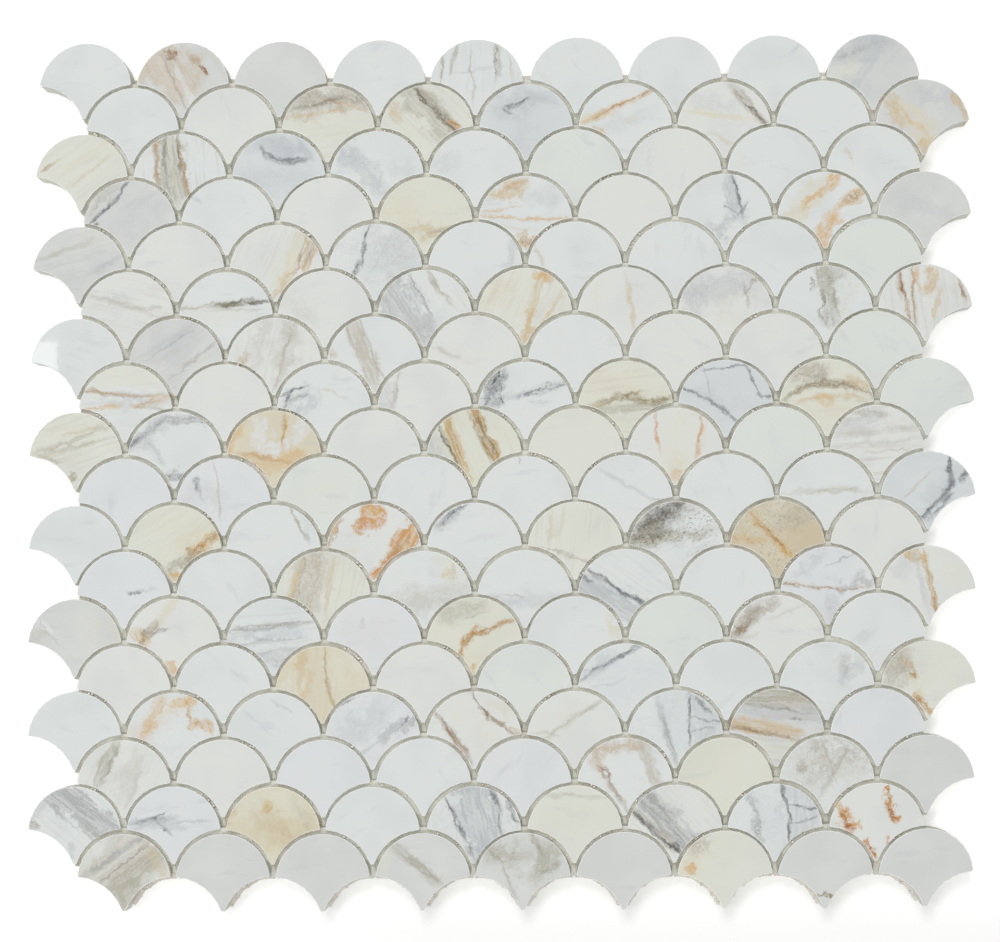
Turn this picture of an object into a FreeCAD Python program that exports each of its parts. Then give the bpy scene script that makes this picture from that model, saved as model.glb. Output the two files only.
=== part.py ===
import FreeCAD, Part
import math
import os

# Mosaic sheet of marble chips cut to a fish-scale shape, glued on a fibreglass mesh backing.
# The sheet lies flat with its polished face up. The rounded ends of the chips point to +Y.

# Pattern, in millimetres. Every second row is moved right by half a column pitch.
COLUMNS = 9
ROWS = 18
COLUMN_PITCH = 32.0
ROW_PITCH = 15.0

# Chip: a rounded head, two hollow flanks that fit round the heads of the row below, and a tip
HEAD_SPACING = 1.6
JOINT = 1.3
CHIP_THICKNESS = 9.5
TIP_WIDTH = 1.3
SHOULDER_CUT = 0.7

# Backing: woven mesh with its cured adhesive, trimmed a little inside the chips' outline.
# It shows only in the notches of the top row and under the flanks of the bottom row.
BACKING_THICKNESS = 0.5
BACKING_INSET = 0.8
NOTCH_FILL = 2.0
BOTTOM_MARGIN = 1.2

# Longest straight side along a round stretch. The sheet repeats one small outline many times,
# and sides this short stay within a fifth of a millimetre of the true arcs.
CHIP_SIDE = 4.6
BACKING_SIDE = 7.0

HALF_PITCH = COLUMN_PITCH / 2
HEAD_RADIUS = (COLUMN_PITCH - HEAD_SPACING) / 2
FLANK_RADIUS = HEAD_RADIUS + JOINT
CENTRE_DISTANCE = math.hypot(HALF_PITCH, ROW_PITCH)


def on_circle(centre, radius, angle):
    """Point of a circle in the plane of the sheet."""
    x, y = centre
    return FreeCAD.Vector(x + radius * math.cos(angle), y + radius * math.sin(angle), 0)


def arc(centre, radius, start, end, longest_side):
    """Points along a round stretch from one angle to another, either way round."""
    sides = math.ceil(radius * abs(end - start) / longest_side)
    turn = (end - start) / sides
    return [on_circle(centre, radius, start + side * turn) for side in range(sides + 1)]


def mirrored(points, x):
    """The same points on the other side of an upright line, in the opposite order."""
    return [FreeCAD.Vector(2 * x - point.x, point.y, 0) for point in reversed(points)]


def plate(outline, bottom, thickness):
    """Flat solid of an outline, from its underside up."""
    face = Part.Face(Part.makePolygon(outline + outline[:1]))
    face.translate(FreeCAD.Vector(0, 0, bottom))
    return face.extrude(FreeCAD.Vector(0, 0, thickness))


def shoulder_angles(head, flank):
    """Angles at which the head and the flank end, on each side of the blunted shoulder.

    The circle of a head crosses the circle of the flank to its lower right at the shoulder.
    The first angle is at the centre of the head, the second at the centre of the flank.
    """
    slope = math.atan2(ROW_PITCH, HALF_PITCH)
    at_head = (head**2 + CENTRE_DISTANCE**2 - flank**2) / (2 * head * CENTRE_DISTANCE)
    at_flank = (flank**2 + CENTRE_DISTANCE**2 - head**2) / (2 * flank * CENTRE_DISTANCE)
    head_end = math.acos(at_head) - slope + SHOULDER_CUT / head
    flank_end = math.pi - slope - math.acos(at_flank) + SHOULDER_CUT / flank
    return head_end, flank_end


def tip_angle(flank):
    """Angle at the centre of the lower right flank where the two flanks reach the tip."""
    return math.pi - math.acos((HALF_PITCH - TIP_WIDTH / 2) / flank)


TIP_DEPTH = ROW_PITCH - FLANK_RADIUS * math.sin(tip_angle(FLANK_RADIUS))
SHEET_HEIGHT = (ROWS - 1) * ROW_PITCH + HEAD_RADIUS + TIP_DEPTH


def chip_centre(row, column):
    """Centre of a chip's head."""
    shift = HALF_PITCH / 2 if row % 2 else -HALF_PITCH / 2
    x = (column - (COLUMNS - 1) / 2) * COLUMN_PITCH + shift
    y = SHEET_HEIGHT / 2 - HEAD_RADIUS - row * ROW_PITCH
    return x, y


def right_flank(centre, inset, longest_side):
    """Points up the right flank of a chip, from its tip to its shoulder."""
    x, y = centre
    flank = FLANK_RADIUS + inset
    flank_end = shoulder_angles(HEAD_RADIUS - inset, flank)[1]
    below = (x + HALF_PITCH, y - ROW_PITCH)
    return arc(below, flank, tip_angle(flank), flank_end, longest_side)


def chip(centre):
    """One chip, with its underside seated on the backing."""
    head_end = shoulder_angles(HEAD_RADIUS, FLANK_RADIUS)[0]
    head = arc(centre, HEAD_RADIUS, head_end, math.pi - head_end, CHIP_SIDE)
    flank = right_flank(centre, 0, CHIP_SIDE)
    outline = head + mirrored(flank, centre[0]) + flank
    return plate(outline, BACKING_THICKNESS, CHIP_THICKNESS)


def chip_row(row):
    """The chips of one row, as solids that don't touch."""
    return Part.makeCompound([chip(chip_centre(row, column)) for column in range(COLUMNS)])


def top_edge():
    """Points over the heads of the first row, from right to left, with filled notches."""
    radius = HEAD_RADIUS - BACKING_INSET
    head_end = shoulder_angles(radius, FLANK_RADIUS + BACKING_INSET)[0]
    notch = head_end + NOTCH_FILL / radius
    points = []
    for column in reversed(range(COLUMNS)):
        start = head_end if column == COLUMNS - 1 else notch
        end = head_end if column == 0 else notch
        centre = chip_centre(0, column)
        points += arc(centre, radius, start, math.pi - end, BACKING_SIDE)
    return points


def right_edge():
    """Points up the right side, round the rows that stick out and past those set back."""
    radius = HEAD_RADIUS - BACKING_INSET
    head_end = shoulder_angles(radius, FLANK_RADIUS + BACKING_INSET)[0]
    points = []
    for row in reversed(range(1, ROWS)):
        centre = chip_centre(row, COLUMNS - 1)
        sticks_out = row % 2 == 1
        if sticks_out or row == ROWS - 1:
            points += right_flank(centre, BACKING_INSET, BACKING_SIDE)
        if sticks_out:
            points += arc(centre, radius, head_end, math.pi / 2, BACKING_SIDE)
        else:
            points.append(on_circle(centre, radius, head_end))
    return points


def left_edge():
    """Points down the left side, where the other rows stick out."""
    radius = HEAD_RADIUS - BACKING_INSET
    head_end = shoulder_angles(radius, FLANK_RADIUS + BACKING_INSET)[0]
    points = []
    for row in range(ROWS):
        centre = chip_centre(row, 0)
        sticks_out = row % 2 == 0
        if not sticks_out:
            points.append(on_circle(centre, radius, math.pi - head_end))
        elif row > 0:
            points += arc(centre, radius, math.pi / 2, math.pi - head_end, BACKING_SIDE)
        if sticks_out or row == ROWS - 1:
            points += mirrored(right_flank(centre, BACKING_INSET, BACKING_SIDE), centre[0])
    return points


def bottom_edge():
    """Points a margin below the flanks of the last row, from left to right between the tips."""
    radius = FLANK_RADIUS - BOTTOM_MARGIN
    end = math.asin((ROW_PITCH - TIP_DEPTH) / radius)
    points = []
    for column in range(COLUMNS - 1):
        x, y = chip_centre(ROWS - 1, column)
        below = (x + HALF_PITCH, y - ROW_PITCH)
        points += arc(below, radius, math.pi - end, end, BACKING_SIDE)
    return points


def backing_mesh():
    """Backing sheet under all the chips."""
    outline = top_edge() + left_edge() + bottom_edge() + right_edge()
    return plate(outline, 0, BACKING_THICKNESS)


os.makedirs("parts", exist_ok=True)
backing_mesh().exportStep("parts/backing_mesh.step")
for row in range(ROWS):
    chip_row(row).exportStep(f"parts/chip_row_{row + 1:02d}.step")
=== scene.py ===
import math
import random
from collections import namedtuple

import bmesh
import bpy
from mathutils import Euler, Matrix, Vector
from mathutils.bvhtree import BVHTree


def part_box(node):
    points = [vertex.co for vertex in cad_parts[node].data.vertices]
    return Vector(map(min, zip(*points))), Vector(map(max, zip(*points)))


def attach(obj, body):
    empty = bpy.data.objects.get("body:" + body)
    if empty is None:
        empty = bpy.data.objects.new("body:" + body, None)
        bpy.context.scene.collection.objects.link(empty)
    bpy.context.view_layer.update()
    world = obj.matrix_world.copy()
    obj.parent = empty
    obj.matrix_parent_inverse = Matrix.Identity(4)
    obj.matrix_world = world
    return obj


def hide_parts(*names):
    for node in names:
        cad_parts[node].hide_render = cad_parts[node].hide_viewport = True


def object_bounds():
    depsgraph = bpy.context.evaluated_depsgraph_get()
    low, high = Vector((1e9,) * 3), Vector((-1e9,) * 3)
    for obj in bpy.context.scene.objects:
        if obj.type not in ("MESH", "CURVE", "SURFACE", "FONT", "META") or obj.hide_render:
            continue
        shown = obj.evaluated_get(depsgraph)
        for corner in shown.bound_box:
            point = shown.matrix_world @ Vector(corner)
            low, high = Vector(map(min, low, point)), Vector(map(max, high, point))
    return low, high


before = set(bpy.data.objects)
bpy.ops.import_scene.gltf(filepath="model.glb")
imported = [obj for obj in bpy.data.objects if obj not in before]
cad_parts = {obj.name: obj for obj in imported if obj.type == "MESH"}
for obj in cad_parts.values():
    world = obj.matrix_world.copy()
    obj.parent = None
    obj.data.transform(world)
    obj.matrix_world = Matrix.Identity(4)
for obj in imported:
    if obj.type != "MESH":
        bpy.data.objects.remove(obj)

bl_info = {
    "name": "Fish scale marble mosaic sheet",
    "version": (1, 0, 0),
    "blender": (4, 5, 0),
    "location": "3D View > Sidebar > Mosaic",
    "description": "Polished marble chips glued on a woven mesh, over the packed frame",
    "category": "Object",
}

MM = 0.001
CAD_LOW, CAD_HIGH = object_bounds()
CHIP_LOW, CHIP_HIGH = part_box("chip_row_01")
MESH_LOW, MESH_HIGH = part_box("backing_mesh")
ROWS = 18
COLUMNS = 9

# Most markings that one chip can have
STREAKS = 7

# Straight steps that draw the round of a head, a flank and the eased edge
HEAD_STEPS = 15
FLANK_STEPS = 6
ARRIS_STEPS = 2

# The chip that mirrors the left soft box, by row and column from nought, and its lean in degrees
GLINT_CHIP = (6, 0)
GLINT_LEAN = -1.0
DEEPEST_SINK = 0.4 * MM

# Heights of the two faces of the cured film over the floor, and how far strands wave in the weave
FILM_BOTTOM = 0.12 * MM
FILM_TOP = 0.3 * MM
WEAVE = 0.09 * MM

# Joint glue: its grip under the chips' edges, its unevenness, and where it sags between two heads
GLUE_GRIP_HEAD = 0.5 * MM
GLUE_GRIP_FLANK = 0.7 * MM
GLUE_UNEVEN = 0.35 * MM
SAG_REACH = 4.2 * MM
SAG_DEPTH = 1.8 * MM

# Camera place in metres, turn in degrees, and focal length as a share of the picture's width
CAMERA_PLACE = (0.0302, -0.0439, 0.790)
CAMERA_TURN = (3.198, 2.203, -0.377)
FOCAL_SHARE = 2.452
SENSOR_WIDTH = 36.0


def length(name, description, default):
    """A size in metres."""
    return bpy.props.FloatProperty(
        name=name, description=description, default=default, subtype="DISTANCE", unit="LENGTH", precision=5
    )


def number(name, description, default):
    """A plain number."""
    return bpy.props.FloatProperty(name=name, description=description, default=default, precision=4)


def colour(name, red, green, blue):
    """A colour as it looks on a screen, from 0 to 255 a channel."""
    return bpy.props.FloatVectorProperty(
        name=name,
        description=f"{name} as it looks on a screen",
        default=(red / 255, green / 255, blue / 255),
        subtype="COLOR_GAMMA",
        size=3,
        min=0.0,
        max=1.0,
    )


class MosaicSizes(bpy.types.PropertyGroup):
    """Sizes of the chips, the joints and the backing."""

    column_pitch: length("Column pitch", "From one chip to the next in its row", 32 * MM)
    row_pitch: length("Row pitch", "From one row of chips to the next", 15 * MM)
    head_radius: length("Head radius", "Radius of a chip's rounded end", 15.2 * MM)
    joint: length("Joint", "Gap between a head and the flanks round it", 1.15 * MM)
    tip_width: length("Tip width", "Width of the blunt tip of a chip", 1.1 * MM)
    shoulder_cut: length("Shoulder cut", "How far the sharp shoulder is blunted along each arc", 0.35 * MM)
    arris: length("Arris", "Width of the eased edge round the polished face", 0.24 * MM)
    shift: length("Shift", "How far a chip sits off its place", 0.12 * MM)
    turn: number("Turn", "How far a chip is turned in the sheet, in degrees", 0.35)
    tilt: number("Tilt", "How far a chip leans out of the sheet, in degrees", 0.16)
    sink: length("Sink", "How far the lowest chips sit under the highest", 0.12 * MM)
    drift: number("Drift", "Share of the sheet's own lean and bow that is followed", 1.0)
    strand_pitch: length("Strand pitch", "From one strand of the mesh to the next", 2.9 * MM)
    strand_width: length("Strand width", "Width of a strand", 0.9 * MM)
    strand_height: length("Strand height", "Thickness of a strand", 0.2 * MM)
    glue_depth: length("Glue depth", "Height of the adhesive in the joints over the mesh", 7.5 * MM)
    bead: length("Bead", "Largest clear glue bead in a joint", 1.0 * MM)


class StoneColours(bpy.types.PropertyGroup):
    """Colours of the marble, the adhesive and the stage."""

    white: colour("White", 217, 221, 219)
    cool_white: colour("Cool white", 216, 221, 220)
    lilac_white: colour("Lilac white", 216, 219, 220)
    warm_white: colour("Warm white", 218, 220, 216)
    green_white: colour("Green white", 215, 220, 215)
    cream_white: colour("Cream white", 217, 218, 208)
    cream: colour("Cream", 216, 217, 202)
    pale_blue: colour("Pale blue", 208, 213, 214)
    pale_grey: colour("Pale grey", 208, 210, 207)
    cool_grey: colour("Cool grey", 188, 192, 194)
    dark_grey: colour("Dark grey", 160, 163, 162)
    blue_grey: colour("Blue grey", 176, 181, 184)
    lilac_grey: colour("Lilac grey", 193, 194, 196)
    warm_grey: colour("Warm grey", 192, 190, 180)
    slate: colour("Slate", 96, 100, 106)
    near_black: colour("Near black", 60, 56, 52)
    olive_grey: colour("Olive grey", 170, 167, 150)
    olive: colour("Olive", 142, 137, 112)
    dark_olive: colour("Dark olive", 92, 84, 62)
    olive_brown: colour("Olive brown", 134, 114, 78)
    taupe: colour("Taupe", 162, 152, 136)
    warm_taupe: colour("Warm taupe", 188, 181, 166)
    dark_taupe: colour("Dark taupe", 116, 108, 94)
    tan: colour("Tan", 200, 186, 156)
    honey: colour("Honey", 213, 206, 182)
    gold: colour("Gold", 198, 170, 120)
    deep_gold: colour("Deep gold", 178, 142, 82)
    orange: colour("Orange", 206, 168, 108)
    burnt_orange: colour("Burnt orange", 196, 140, 76)
    orange_brown: colour("Orange brown", 178, 132, 68)
    rust: colour("Rust", 164, 128, 78)
    dark_rust: colour("Dark rust", 136, 86, 46)
    brown: colour("Brown", 142, 118, 90)
    pink_brown: colour("Pink brown", 196, 182, 162)
    pinkish: colour("Pinkish", 215, 205, 194)
    red_orange: colour("Red orange", 200, 156, 114)
    sawn_tint: colour("Sawn stone tint", 255, 253, 247)
    glue: colour("Adhesive", 213, 213, 203)
    strand: colour("Mesh strand", 244, 240, 233)
    film: colour("Glue film", 241, 235, 226)
    floor: colour("Floor", 255, 255, 254)
    # Painted shade: the floor's darker colour at its near side, from the middle to the right, where the
    # light falls off
    floor_painted_shade: colour("Floor at the near side", 243, 243, 242)


Streak = namedtuple("Streak", "tint x y turn length width strength bend softness wobble core")
Look = namedtuple("Look", "ground grain crackle specks lines streaks")


def vein(tint, x, y, turn, long, wide, strength=0.7, bend=0.0, core=None):
    """A thin vein: its middle in the chip, in millimetres, its direction, length and width."""
    return Streak(tint, x, y, turn, long, wide, strength, bend, 0.75, 0.55, core)


def band(tint, x, y, turn, long, wide, strength=0.7, bend=0.0, core=None):
    """A band with fairly clean edges."""
    return Streak(tint, x, y, turn, long, wide, strength, bend, 0.3, 0.35, core)


def cloud(tint, x, y, turn, long, wide, strength=0.5, bend=0.0, core=None):
    """A soft cloud."""
    return Streak(tint, x, y, turn, long, wide, strength, bend, 0.85, 1.6, core)


def patch(tint, x, y, turn, long, wide, strength=0.8, bend=0.0, core=None):
    """A ragged stain."""
    return Streak(tint, x, y, turn, long, wide, strength, bend, 0.4, 1.1, core)


def look(ground, *streaks, grain=0.0, crackle=0.0, specks=0.0, lines=0.0):
    """How one chip looks: its ground, the direction of its grain and its markings."""
    return Look(ground, grain, crackle, specks, lines, streaks)


# Chips with markings, by row from the top and column from the left. The other chips are plain.
LOOKS = {
    (1, 1): look("white", vein("cool_grey", -3.4, 8.7, 60, 1.4, 0.9, 0.6)),
    (1, 2): look(
        "pale_grey",
        patch("pink_brown", -5.0, 6.5, -38, 25, 15, 0.85),
        band("pinkish", -5.0, 3.0, -50, 20, 6, 0.4),
        band("white", 1.5, -1.0, -62, 18, 2.4, 0.8),
        vein("taupe", -2.2, 1.5, -62, 22, 1.0, 0.6),
        vein("rust", 5.0, 8.0, -42, 9, 1.3, 0.6),
        patch("dark_rust", -4.3, 11.0, 20, 4.4, 2.6, 0.8),
        patch("dark_rust", 6.8, 6.2, -30, 4, 2, 0.85),
        grain=-55, lines=0.4,
    ),
    (1, 3): look("pale_grey", vein("slate", 8.0, 12.8, -38, 3, 0.8, 0.55)),
    (1, 5): look(
        "white",
        vein("olive", -11.3, 5.5, 84, 10, 0.9, 0.7),
        vein("olive", -7.4, 9.5, 78, 11, 1.1, 0.55),
        band("olive_grey", 6.8, 8.5, 97, 12, 2.6, 0.6),
        vein("dark_olive", 6.0, 8.0, 95, 12, 0.6, 0.6),
        vein("cool_grey", 0.0, 5.2, 8, 18, 1.2, 0.5),
        vein("olive", -1.5, 3.0, 96, 18, 0.8, 0.45),
        vein("olive_grey", 11.0, 6.0, 100, 9, 0.9, 0.5),
        grain=88, lines=0.3,
    ),
    (1, 8): look("cool_white", vein("cool_grey", 7.5, 11.0, 40, 7, 1.2, 0.5)),
    (1, 9): look(
        "pale_grey",
        cloud("blue_grey", -4.5, 10.5, 25, 18, 6, 0.75),
        cloud("blue_grey", 2.5, 12.0, 10, 10, 4, 0.6),
        vein("dark_grey", -7.0, 9.0, 20, 12, 1.0, 0.5),
        cloud("cream", -9.0, 3.5, 10, 9, 4, 0.7),
        band("cool_grey", -2.0, 4.0, 55, 22, 3, 0.6),
        cloud("cool_grey", -4.0, -2.0, -30, 14, 5, 0.5),
        vein("lilac_grey", 6.0, 7.0, 50, 10, 1.0, 0.4),
    ),
    (2, 3): look(
        "cream_white",
        cloud("taupe", 1.0, 10.8, 5, 29, 7.5, 0.85),
        vein("dark_olive", -3.0, 9.5, 14, 20, 0.9, 0.55),
        vein("gold", -4.0, 6.2, 6, 20, 1.2, 0.7),
        patch("rust", -7.0, 4.6, 60, 3, 1.4, 0.55),
        vein("rust", 2.0, 9.5, -40, 8, 0.9, 0.45),
        cloud("cream", 2.0, 2.5, 0, 28, 6, 0.7),
        vein("orange", 9.0, 8.0, -15, 11, 0.9, 0.5),
        grain=6, lines=0.4,
    ),
    (2, 4): look(
        "cream_white",
        band("olive_grey", 0.8, 6.5, -46, 28, 8.5, 0.7),
        vein("olive_brown", 4.6, 5.6, -47, 24, 1.8, 0.75, core="dark_olive"),
        vein("dark_olive", 2.2, 6.6, -47, 20, 1.0, 0.8),
        patch("near_black", -1.8, 9.8, -50, 3, 1.1, 0.8),
        patch("orange", 8.7, 1.6, -40, 4.6, 2.8, 1.0, core="dark_rust"),
        patch("gold", -10.0, 6.5, -70, 8, 3, 0.5),
        cloud("cream", -6.0, -1.0, -60, 14, 5, 0.6),
        grain=-46, lines=0.6,
    ),
    (2, 5): look(
        "pale_blue",
        cloud("blue_grey", -2.0, 9.5, 12, 20, 6, 0.6),
        vein("slate", -2.9, 8.8, 25, 8, 1.2, 0.85),
        vein("slate", -6.0, 6.6, -30, 4, 0.8, 0.5),
        vein("cool_grey", 5.0, 10.5, -20, 12, 1.6, 0.6),
        cloud("lilac_grey", -2.0, -3.0, 70, 14, 6, 0.5),
    ),
    (2, 6): look(
        "white",
        patch("honey", -9.0, 4.8, 22, 13, 3.2, 0.75),
        vein("orange", -3.0, 7.3, 25, 29, 1.6, 0.85, core="rust"),
        vein("rust", 7.0, 12.0, 30, 6, 1.1, 0.7),
        patch("orange", -8.5, -0.8, -15, 5, 1.3, 0.7),
        patch("honey", 1.5, 3.0, 5, 5, 1.6, 0.4),
        cloud("cool_grey", 0.0, 3.0, 20, 20, 4, 0.3),
    ),
    (2, 7): look(
        "warm_white",
        vein("olive_brown", 8.2, 7.0, -50, 20, 2.4, 0.6),
        vein("dark_olive", 10.2, 4.8, -45, 12, 1.0, 0.85),
        cloud("cream", -8.0, 6.0, -25, 12, 3.5, 0.75),
        vein("honey", -3.0, 4.5, -10, 24, 1.6, 0.7),
        cloud("cool_grey", -3.0, 8.5, -10, 16, 4, 0.4),
        vein("tan", 0.0, -3.5, -30, 12, 1.2, 0.45),
    ),
    (2, 9): look(
        "pale_grey",
        cloud("cool_grey", 4.0, 9.5, -20, 16, 6, 0.65),
        patch("honey", -1.0, -0.5, -50, 23, 7, 0.8),
        patch("gold", -9.6, 6.5, -62, 14, 4.2, 0.6),
        patch("gold", 12.6, 6.0, -72, 11, 2.8, 0.85),
        patch("gold", 0.0, -6.6, 88, 6, 4, 0.65),
        vein("orange", -3.0, 1.5, -45, 17, 1.2, 0.5),
    ),
    (3, 1): look(
        "cream_white",
        vein("rust", -10.5, 5.0, 35, 7, 1.0, 0.7),
        vein("honey", 2.0, 8.5, 35, 22, 1.6, 0.7),
        vein("tan", 4.0, 4.2, 38, 16, 1.2, 0.55),
        cloud("cream", 0.0, 6.0, 30, 24, 9, 0.6),
        grain=35, lines=0.4,
    ),
    (3, 2): look(
        "white",
        band("olive_grey", -3.2, 5.0, -82, 28, 8.6, 0.8),
        vein("rust", -7.6, 5.5, -86, 18, 1.5, 0.85),
        vein("rust", 1.2, 2.0, -79, 22, 1.3, 0.85),
        vein("dark_taupe", -4.8, 6.0, -84, 20, 1.0, 0.6),
        vein("dark_olive", -0.6, 9.0, -84, 11, 0.8, 0.75),
        vein("honey", -2.0, 3.0, -80, 24, 1.4, 0.5),
        grain=-83, lines=0.8,
    ),
    (3, 3): look(
        "pale_blue",
        cloud("blue_grey", 1.0, 9.5, -12, 18, 7, 0.7),
        vein("slate", 1.5, 6.0, -10, 14, 1.5, 0.8, bend=1.8),
        vein("slate", -5.4, 8.8, -62, 5, 1.1, 0.6),
        vein("blue_grey", 8.0, 10.0, -50, 9, 1.6, 0.6),
        cloud("cool_grey", -2.0, 0.0, 0, 24, 8, 0.45),
    ),
    (3, 4): look(
        "white",
        cloud("cool_grey", -6.0, 4.0, -48, 24, 5.5, 0.95),
        vein("lilac_grey", -4.0, 3.0, -50, 18, 1.6, 0.5),
        cloud("cool_grey", 8.0, 3.0, 0, 8, 5, 0.4),
    ),
    (3, 5): look("white", cloud("cool_grey", -10, 5.5, 0, 10, 5, 0.4)),
    (3, 8): look("cool_white", cloud("cream", -11.5, 4.0, 60, 8, 4, 0.5)),
    (3, 9): look("white", vein("orange", -8.0, 5.5, -60, 5, 0.8, 0.5)),
    (4, 1): look(
        "pale_grey",
        vein("slate", -7.0, 7.2, 49, 21, 1.0, 0.95),
        vein("dark_olive", -12.5, 0.3, 38, 5, 1.2, 0.8),
        cloud("olive_grey", -9.0, 9.8, 50, 14, 3, 0.6),
        cloud("cool_grey", 4.0, 4.0, 30, 20, 10, 0.5),
        vein("cool_grey", 3.0, 8.5, 25, 14, 1.2, 0.5),
    ),
    (4, 2): look("white", vein("cool_grey", -11.0, 9.0, -50, 7, 1.4, 0.6)),
    (4, 3): look("warm_white"),
    (4, 4): look(
        "cream",
        cloud("tan", 3.0, -2.6, -8, 22, 3.6, 0.9),
        vein("taupe", 6.0, -2.0, 14, 12, 1.6, 0.6),
        cloud("honey", -8.0, 4.0, 0, 12, 9, 0.6),
        cloud("cream_white", 2.0, 9.0, 0, 18, 6, 0.5),
    ),
    (4, 5): look(
        "white",
        patch("gold", -5.5, 10.5, 22, 14, 5.6, 0.7),
        patch("deep_gold", -3.0, 12.5, 20, 8, 2.2, 0.4),
        vein("orange", -1.0, 1.6, -3, 29, 1.0, 0.8),
        vein("orange", -7.5, 4.4, 9, 12, 0.9, 0.65),
        vein("honey", -3.0, -1.6, -5, 18, 0.9, 0.6),
        patch("gold", 1.0, -6.0, 0, 8, 4.4, 0.85, core="rust"),
        cloud("cool_grey", 6.0, 8.5, 0, 12, 6, 0.5),
    ),
    (4, 7): look(
        "white",
        band("blue_grey", 2.2, 9.5, -78, 12, 4.6, 0.7),
        vein("slate", 3.8, 8.5, -76, 14, 1.0, 0.9),
        vein("slate", 5.6, 3.4, 48, 5, 1.0, 0.85),
        vein("slate", 1.8, 3.6, -42, 5, 0.9, 0.7),
        cloud("blue_grey", 0.5, -0.5, 42, 15, 4.5, 0.8),
        vein("cool_grey", 6.0, 0.0, -70, 5, 2.0, 0.5),
    ),
    (4, 8): look(
        "white",
        patch("honey", -4.0, 7.0, 42, 26, 6, 0.6),
        patch("orange", -1.5, 8.8, 42, 18, 2.6, 0.75),
        patch("orange", 9.0, 6.4, 35, 10, 3.4, 0.8, core="rust"),
        patch("orange", 0.5, -4.0, 62, 13, 5, 0.8),
        patch("honey", -9.0, 2.6, 25, 12, 2.6, 0.6),
        patch("honey", -5.5, 12.2, 80, 5, 1.8, 0.6),
        patch("orange", 4.0, 3.0, 60, 9, 2.4, 0.5),
    ),
    (4, 9): look("pale_grey", cloud("cool_grey", 0, 3.5, -20, 20, 6, 0.5)),
    (5, 1): look(
        "pale_grey",
        vein("olive_grey", -5.0, 7.5, 20, 20, 1.6, 0.5),
        vein("cool_grey", -2.0, 4.2, 15, 24, 1.6, 0.5),
        vein("blue_grey", 9.5, 3.2, 30, 10, 1.8, 0.65),
        cloud("cool_grey", 3.0, 0.0, 20, 16, 6, 0.4),
        grain=18, lines=0.4,
    ),
    (5, 2): look("warm_white"),
    (5, 3): look(
        "warm_white",
        band("honey", 6.0, 5.5, 66, 24, 4.2, 0.8, bend=1.0),
        band("gold", 10.8, 6.5, 76, 14, 3.4, 0.8, core="taupe"),
        vein("olive_brown", 8.6, 7.5, 72, 12, 0.8, 0.6),
        patch("gold", 1.8, -4.5, 52, 11, 2.6, 0.75),
        vein("rust", 7.5, 3.0, 62, 12, 0.7, 0.45),
        cloud("cream", 3.0, 5.0, 70, 22, 5, 0.5),
        grain=68, lines=0.5,
    ),
    (5, 4): look(
        "white",
        cloud("cool_grey", 5.5, 5.0, 0, 20, 17, 0.5),
        vein("slate", -3.4, 8.4, 82, 13, 0.9, 0.9),
        vein("slate", -6.0, 1.2, 55, 5, 1.8, 0.85),
        vein("cool_grey", 2.0, 6.0, 60, 16, 0.9, 0.5),
        crackle=0.35,
    ),
    (5, 5): look("white", cloud("blue_grey", 11.5, 5.0, 80, 10, 4, 0.55)),
    (5, 6): look("white", vein("pink_brown", -11.0, 3.4, -65, 8, 1.2, 0.6)),
    (6, 1): look(
        "warm_white",
        vein("olive_grey", -3.0, 5.5, -12, 22, 1.6, 0.5),
        vein("olive_grey", 4.0, 2.6, -15, 16, 1.4, 0.45),
        vein("olive", 9.5, 3.6, 0, 4, 1.4, 0.4),
        grain=-12, lines=0.5,
    ),
    (6, 2): look(
        "white",
        vein("dark_olive", 6.2, 5.2, 5, 20, 1.7, 0.9),
        vein("olive", -4.0, 4.2, 3, 22, 1.6, 0.65),
        cloud("cream", -4.0, 1.5, 0, 20, 4, 0.5),
        vein("taupe", 2.0, 2.8, 2, 20, 0.7, 0.4),
    ),
    (6, 3): look("warm_white", cloud("warm_grey", -8, 3, -40, 14, 5, 0.35)),
    (6, 4): look(
        "white",
        band("dark_grey", -9.2, 4.0, -58, 36, 13.5, 0.62),
        vein("slate", -1.6, 7.5, -60, 15, 0.8, 0.6),
        vein("taupe", 4.6, 9.0, -55, 14, 1.5, 0.7),
        cloud("dark_grey", 1.5, -4.0, -60, 10, 5, 0.5),
        cloud("cream", 10.0, 4.0, -50, 12, 5, 0.3),
        grain=-60, lines=0.3,
    ),
    (6, 5): look(
        "cream_white",
        cloud("honey", -8.0, 8.0, 40, 15, 5, 0.65),
        band("gold", 3.5, 6.0, 72, 19, 2.4, 0.7),
        patch("orange", 5.8, 12.6, -15, 7, 2.8, 0.8),
        patch("gold", 0.5, -4.5, 75, 15, 4.2, 0.75),
        vein("orange", 8.0, 0.8, 55, 15, 1.2, 0.55),
        cloud("cream", -2.0, 3.0, 60, 20, 8, 0.6),
        grain=65, lines=0.5,
    ),
    (6, 6): look(
        "warm_white",
        vein("gold", 1.5, 4.2, -80, 17, 1.2, 0.55),
        cloud("cream", -9, 5, 80, 12, 5, 0.5),
    ),
    (6, 7): look(
        "warm_white",
        cloud("lilac_grey", -3.0, 9.0, 0, 26, 10, 0.95),
        cloud("blue_grey", -10.0, 3.0, 60, 10, 4, 0.5),
        vein("taupe", 8.2, 9.2, 58, 8, 1.2, 0.85),
        vein("taupe", 6.8, 6.0, 100, 8, 0.9, 0.6),
        cloud("cream", 3.0, -2.0, -60, 18, 6, 0.5),
    ),
    (6, 8): look(
        "white",
        band("olive_grey", 0.5, 6.5, -82, 24, 5.6, 0.65),
        cloud("olive_grey", 2.0, 12.5, 0, 9, 4, 0.7),
        patch("dark_olive", -1.0, 2.0, 84, 10, 1.1, 0.6),
        patch("dark_olive", -3.5, 9.0, 80, 5, 0.8, 0.5),
        vein("olive", 2.8, 4.0, -75, 14, 0.9, 0.5),
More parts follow.
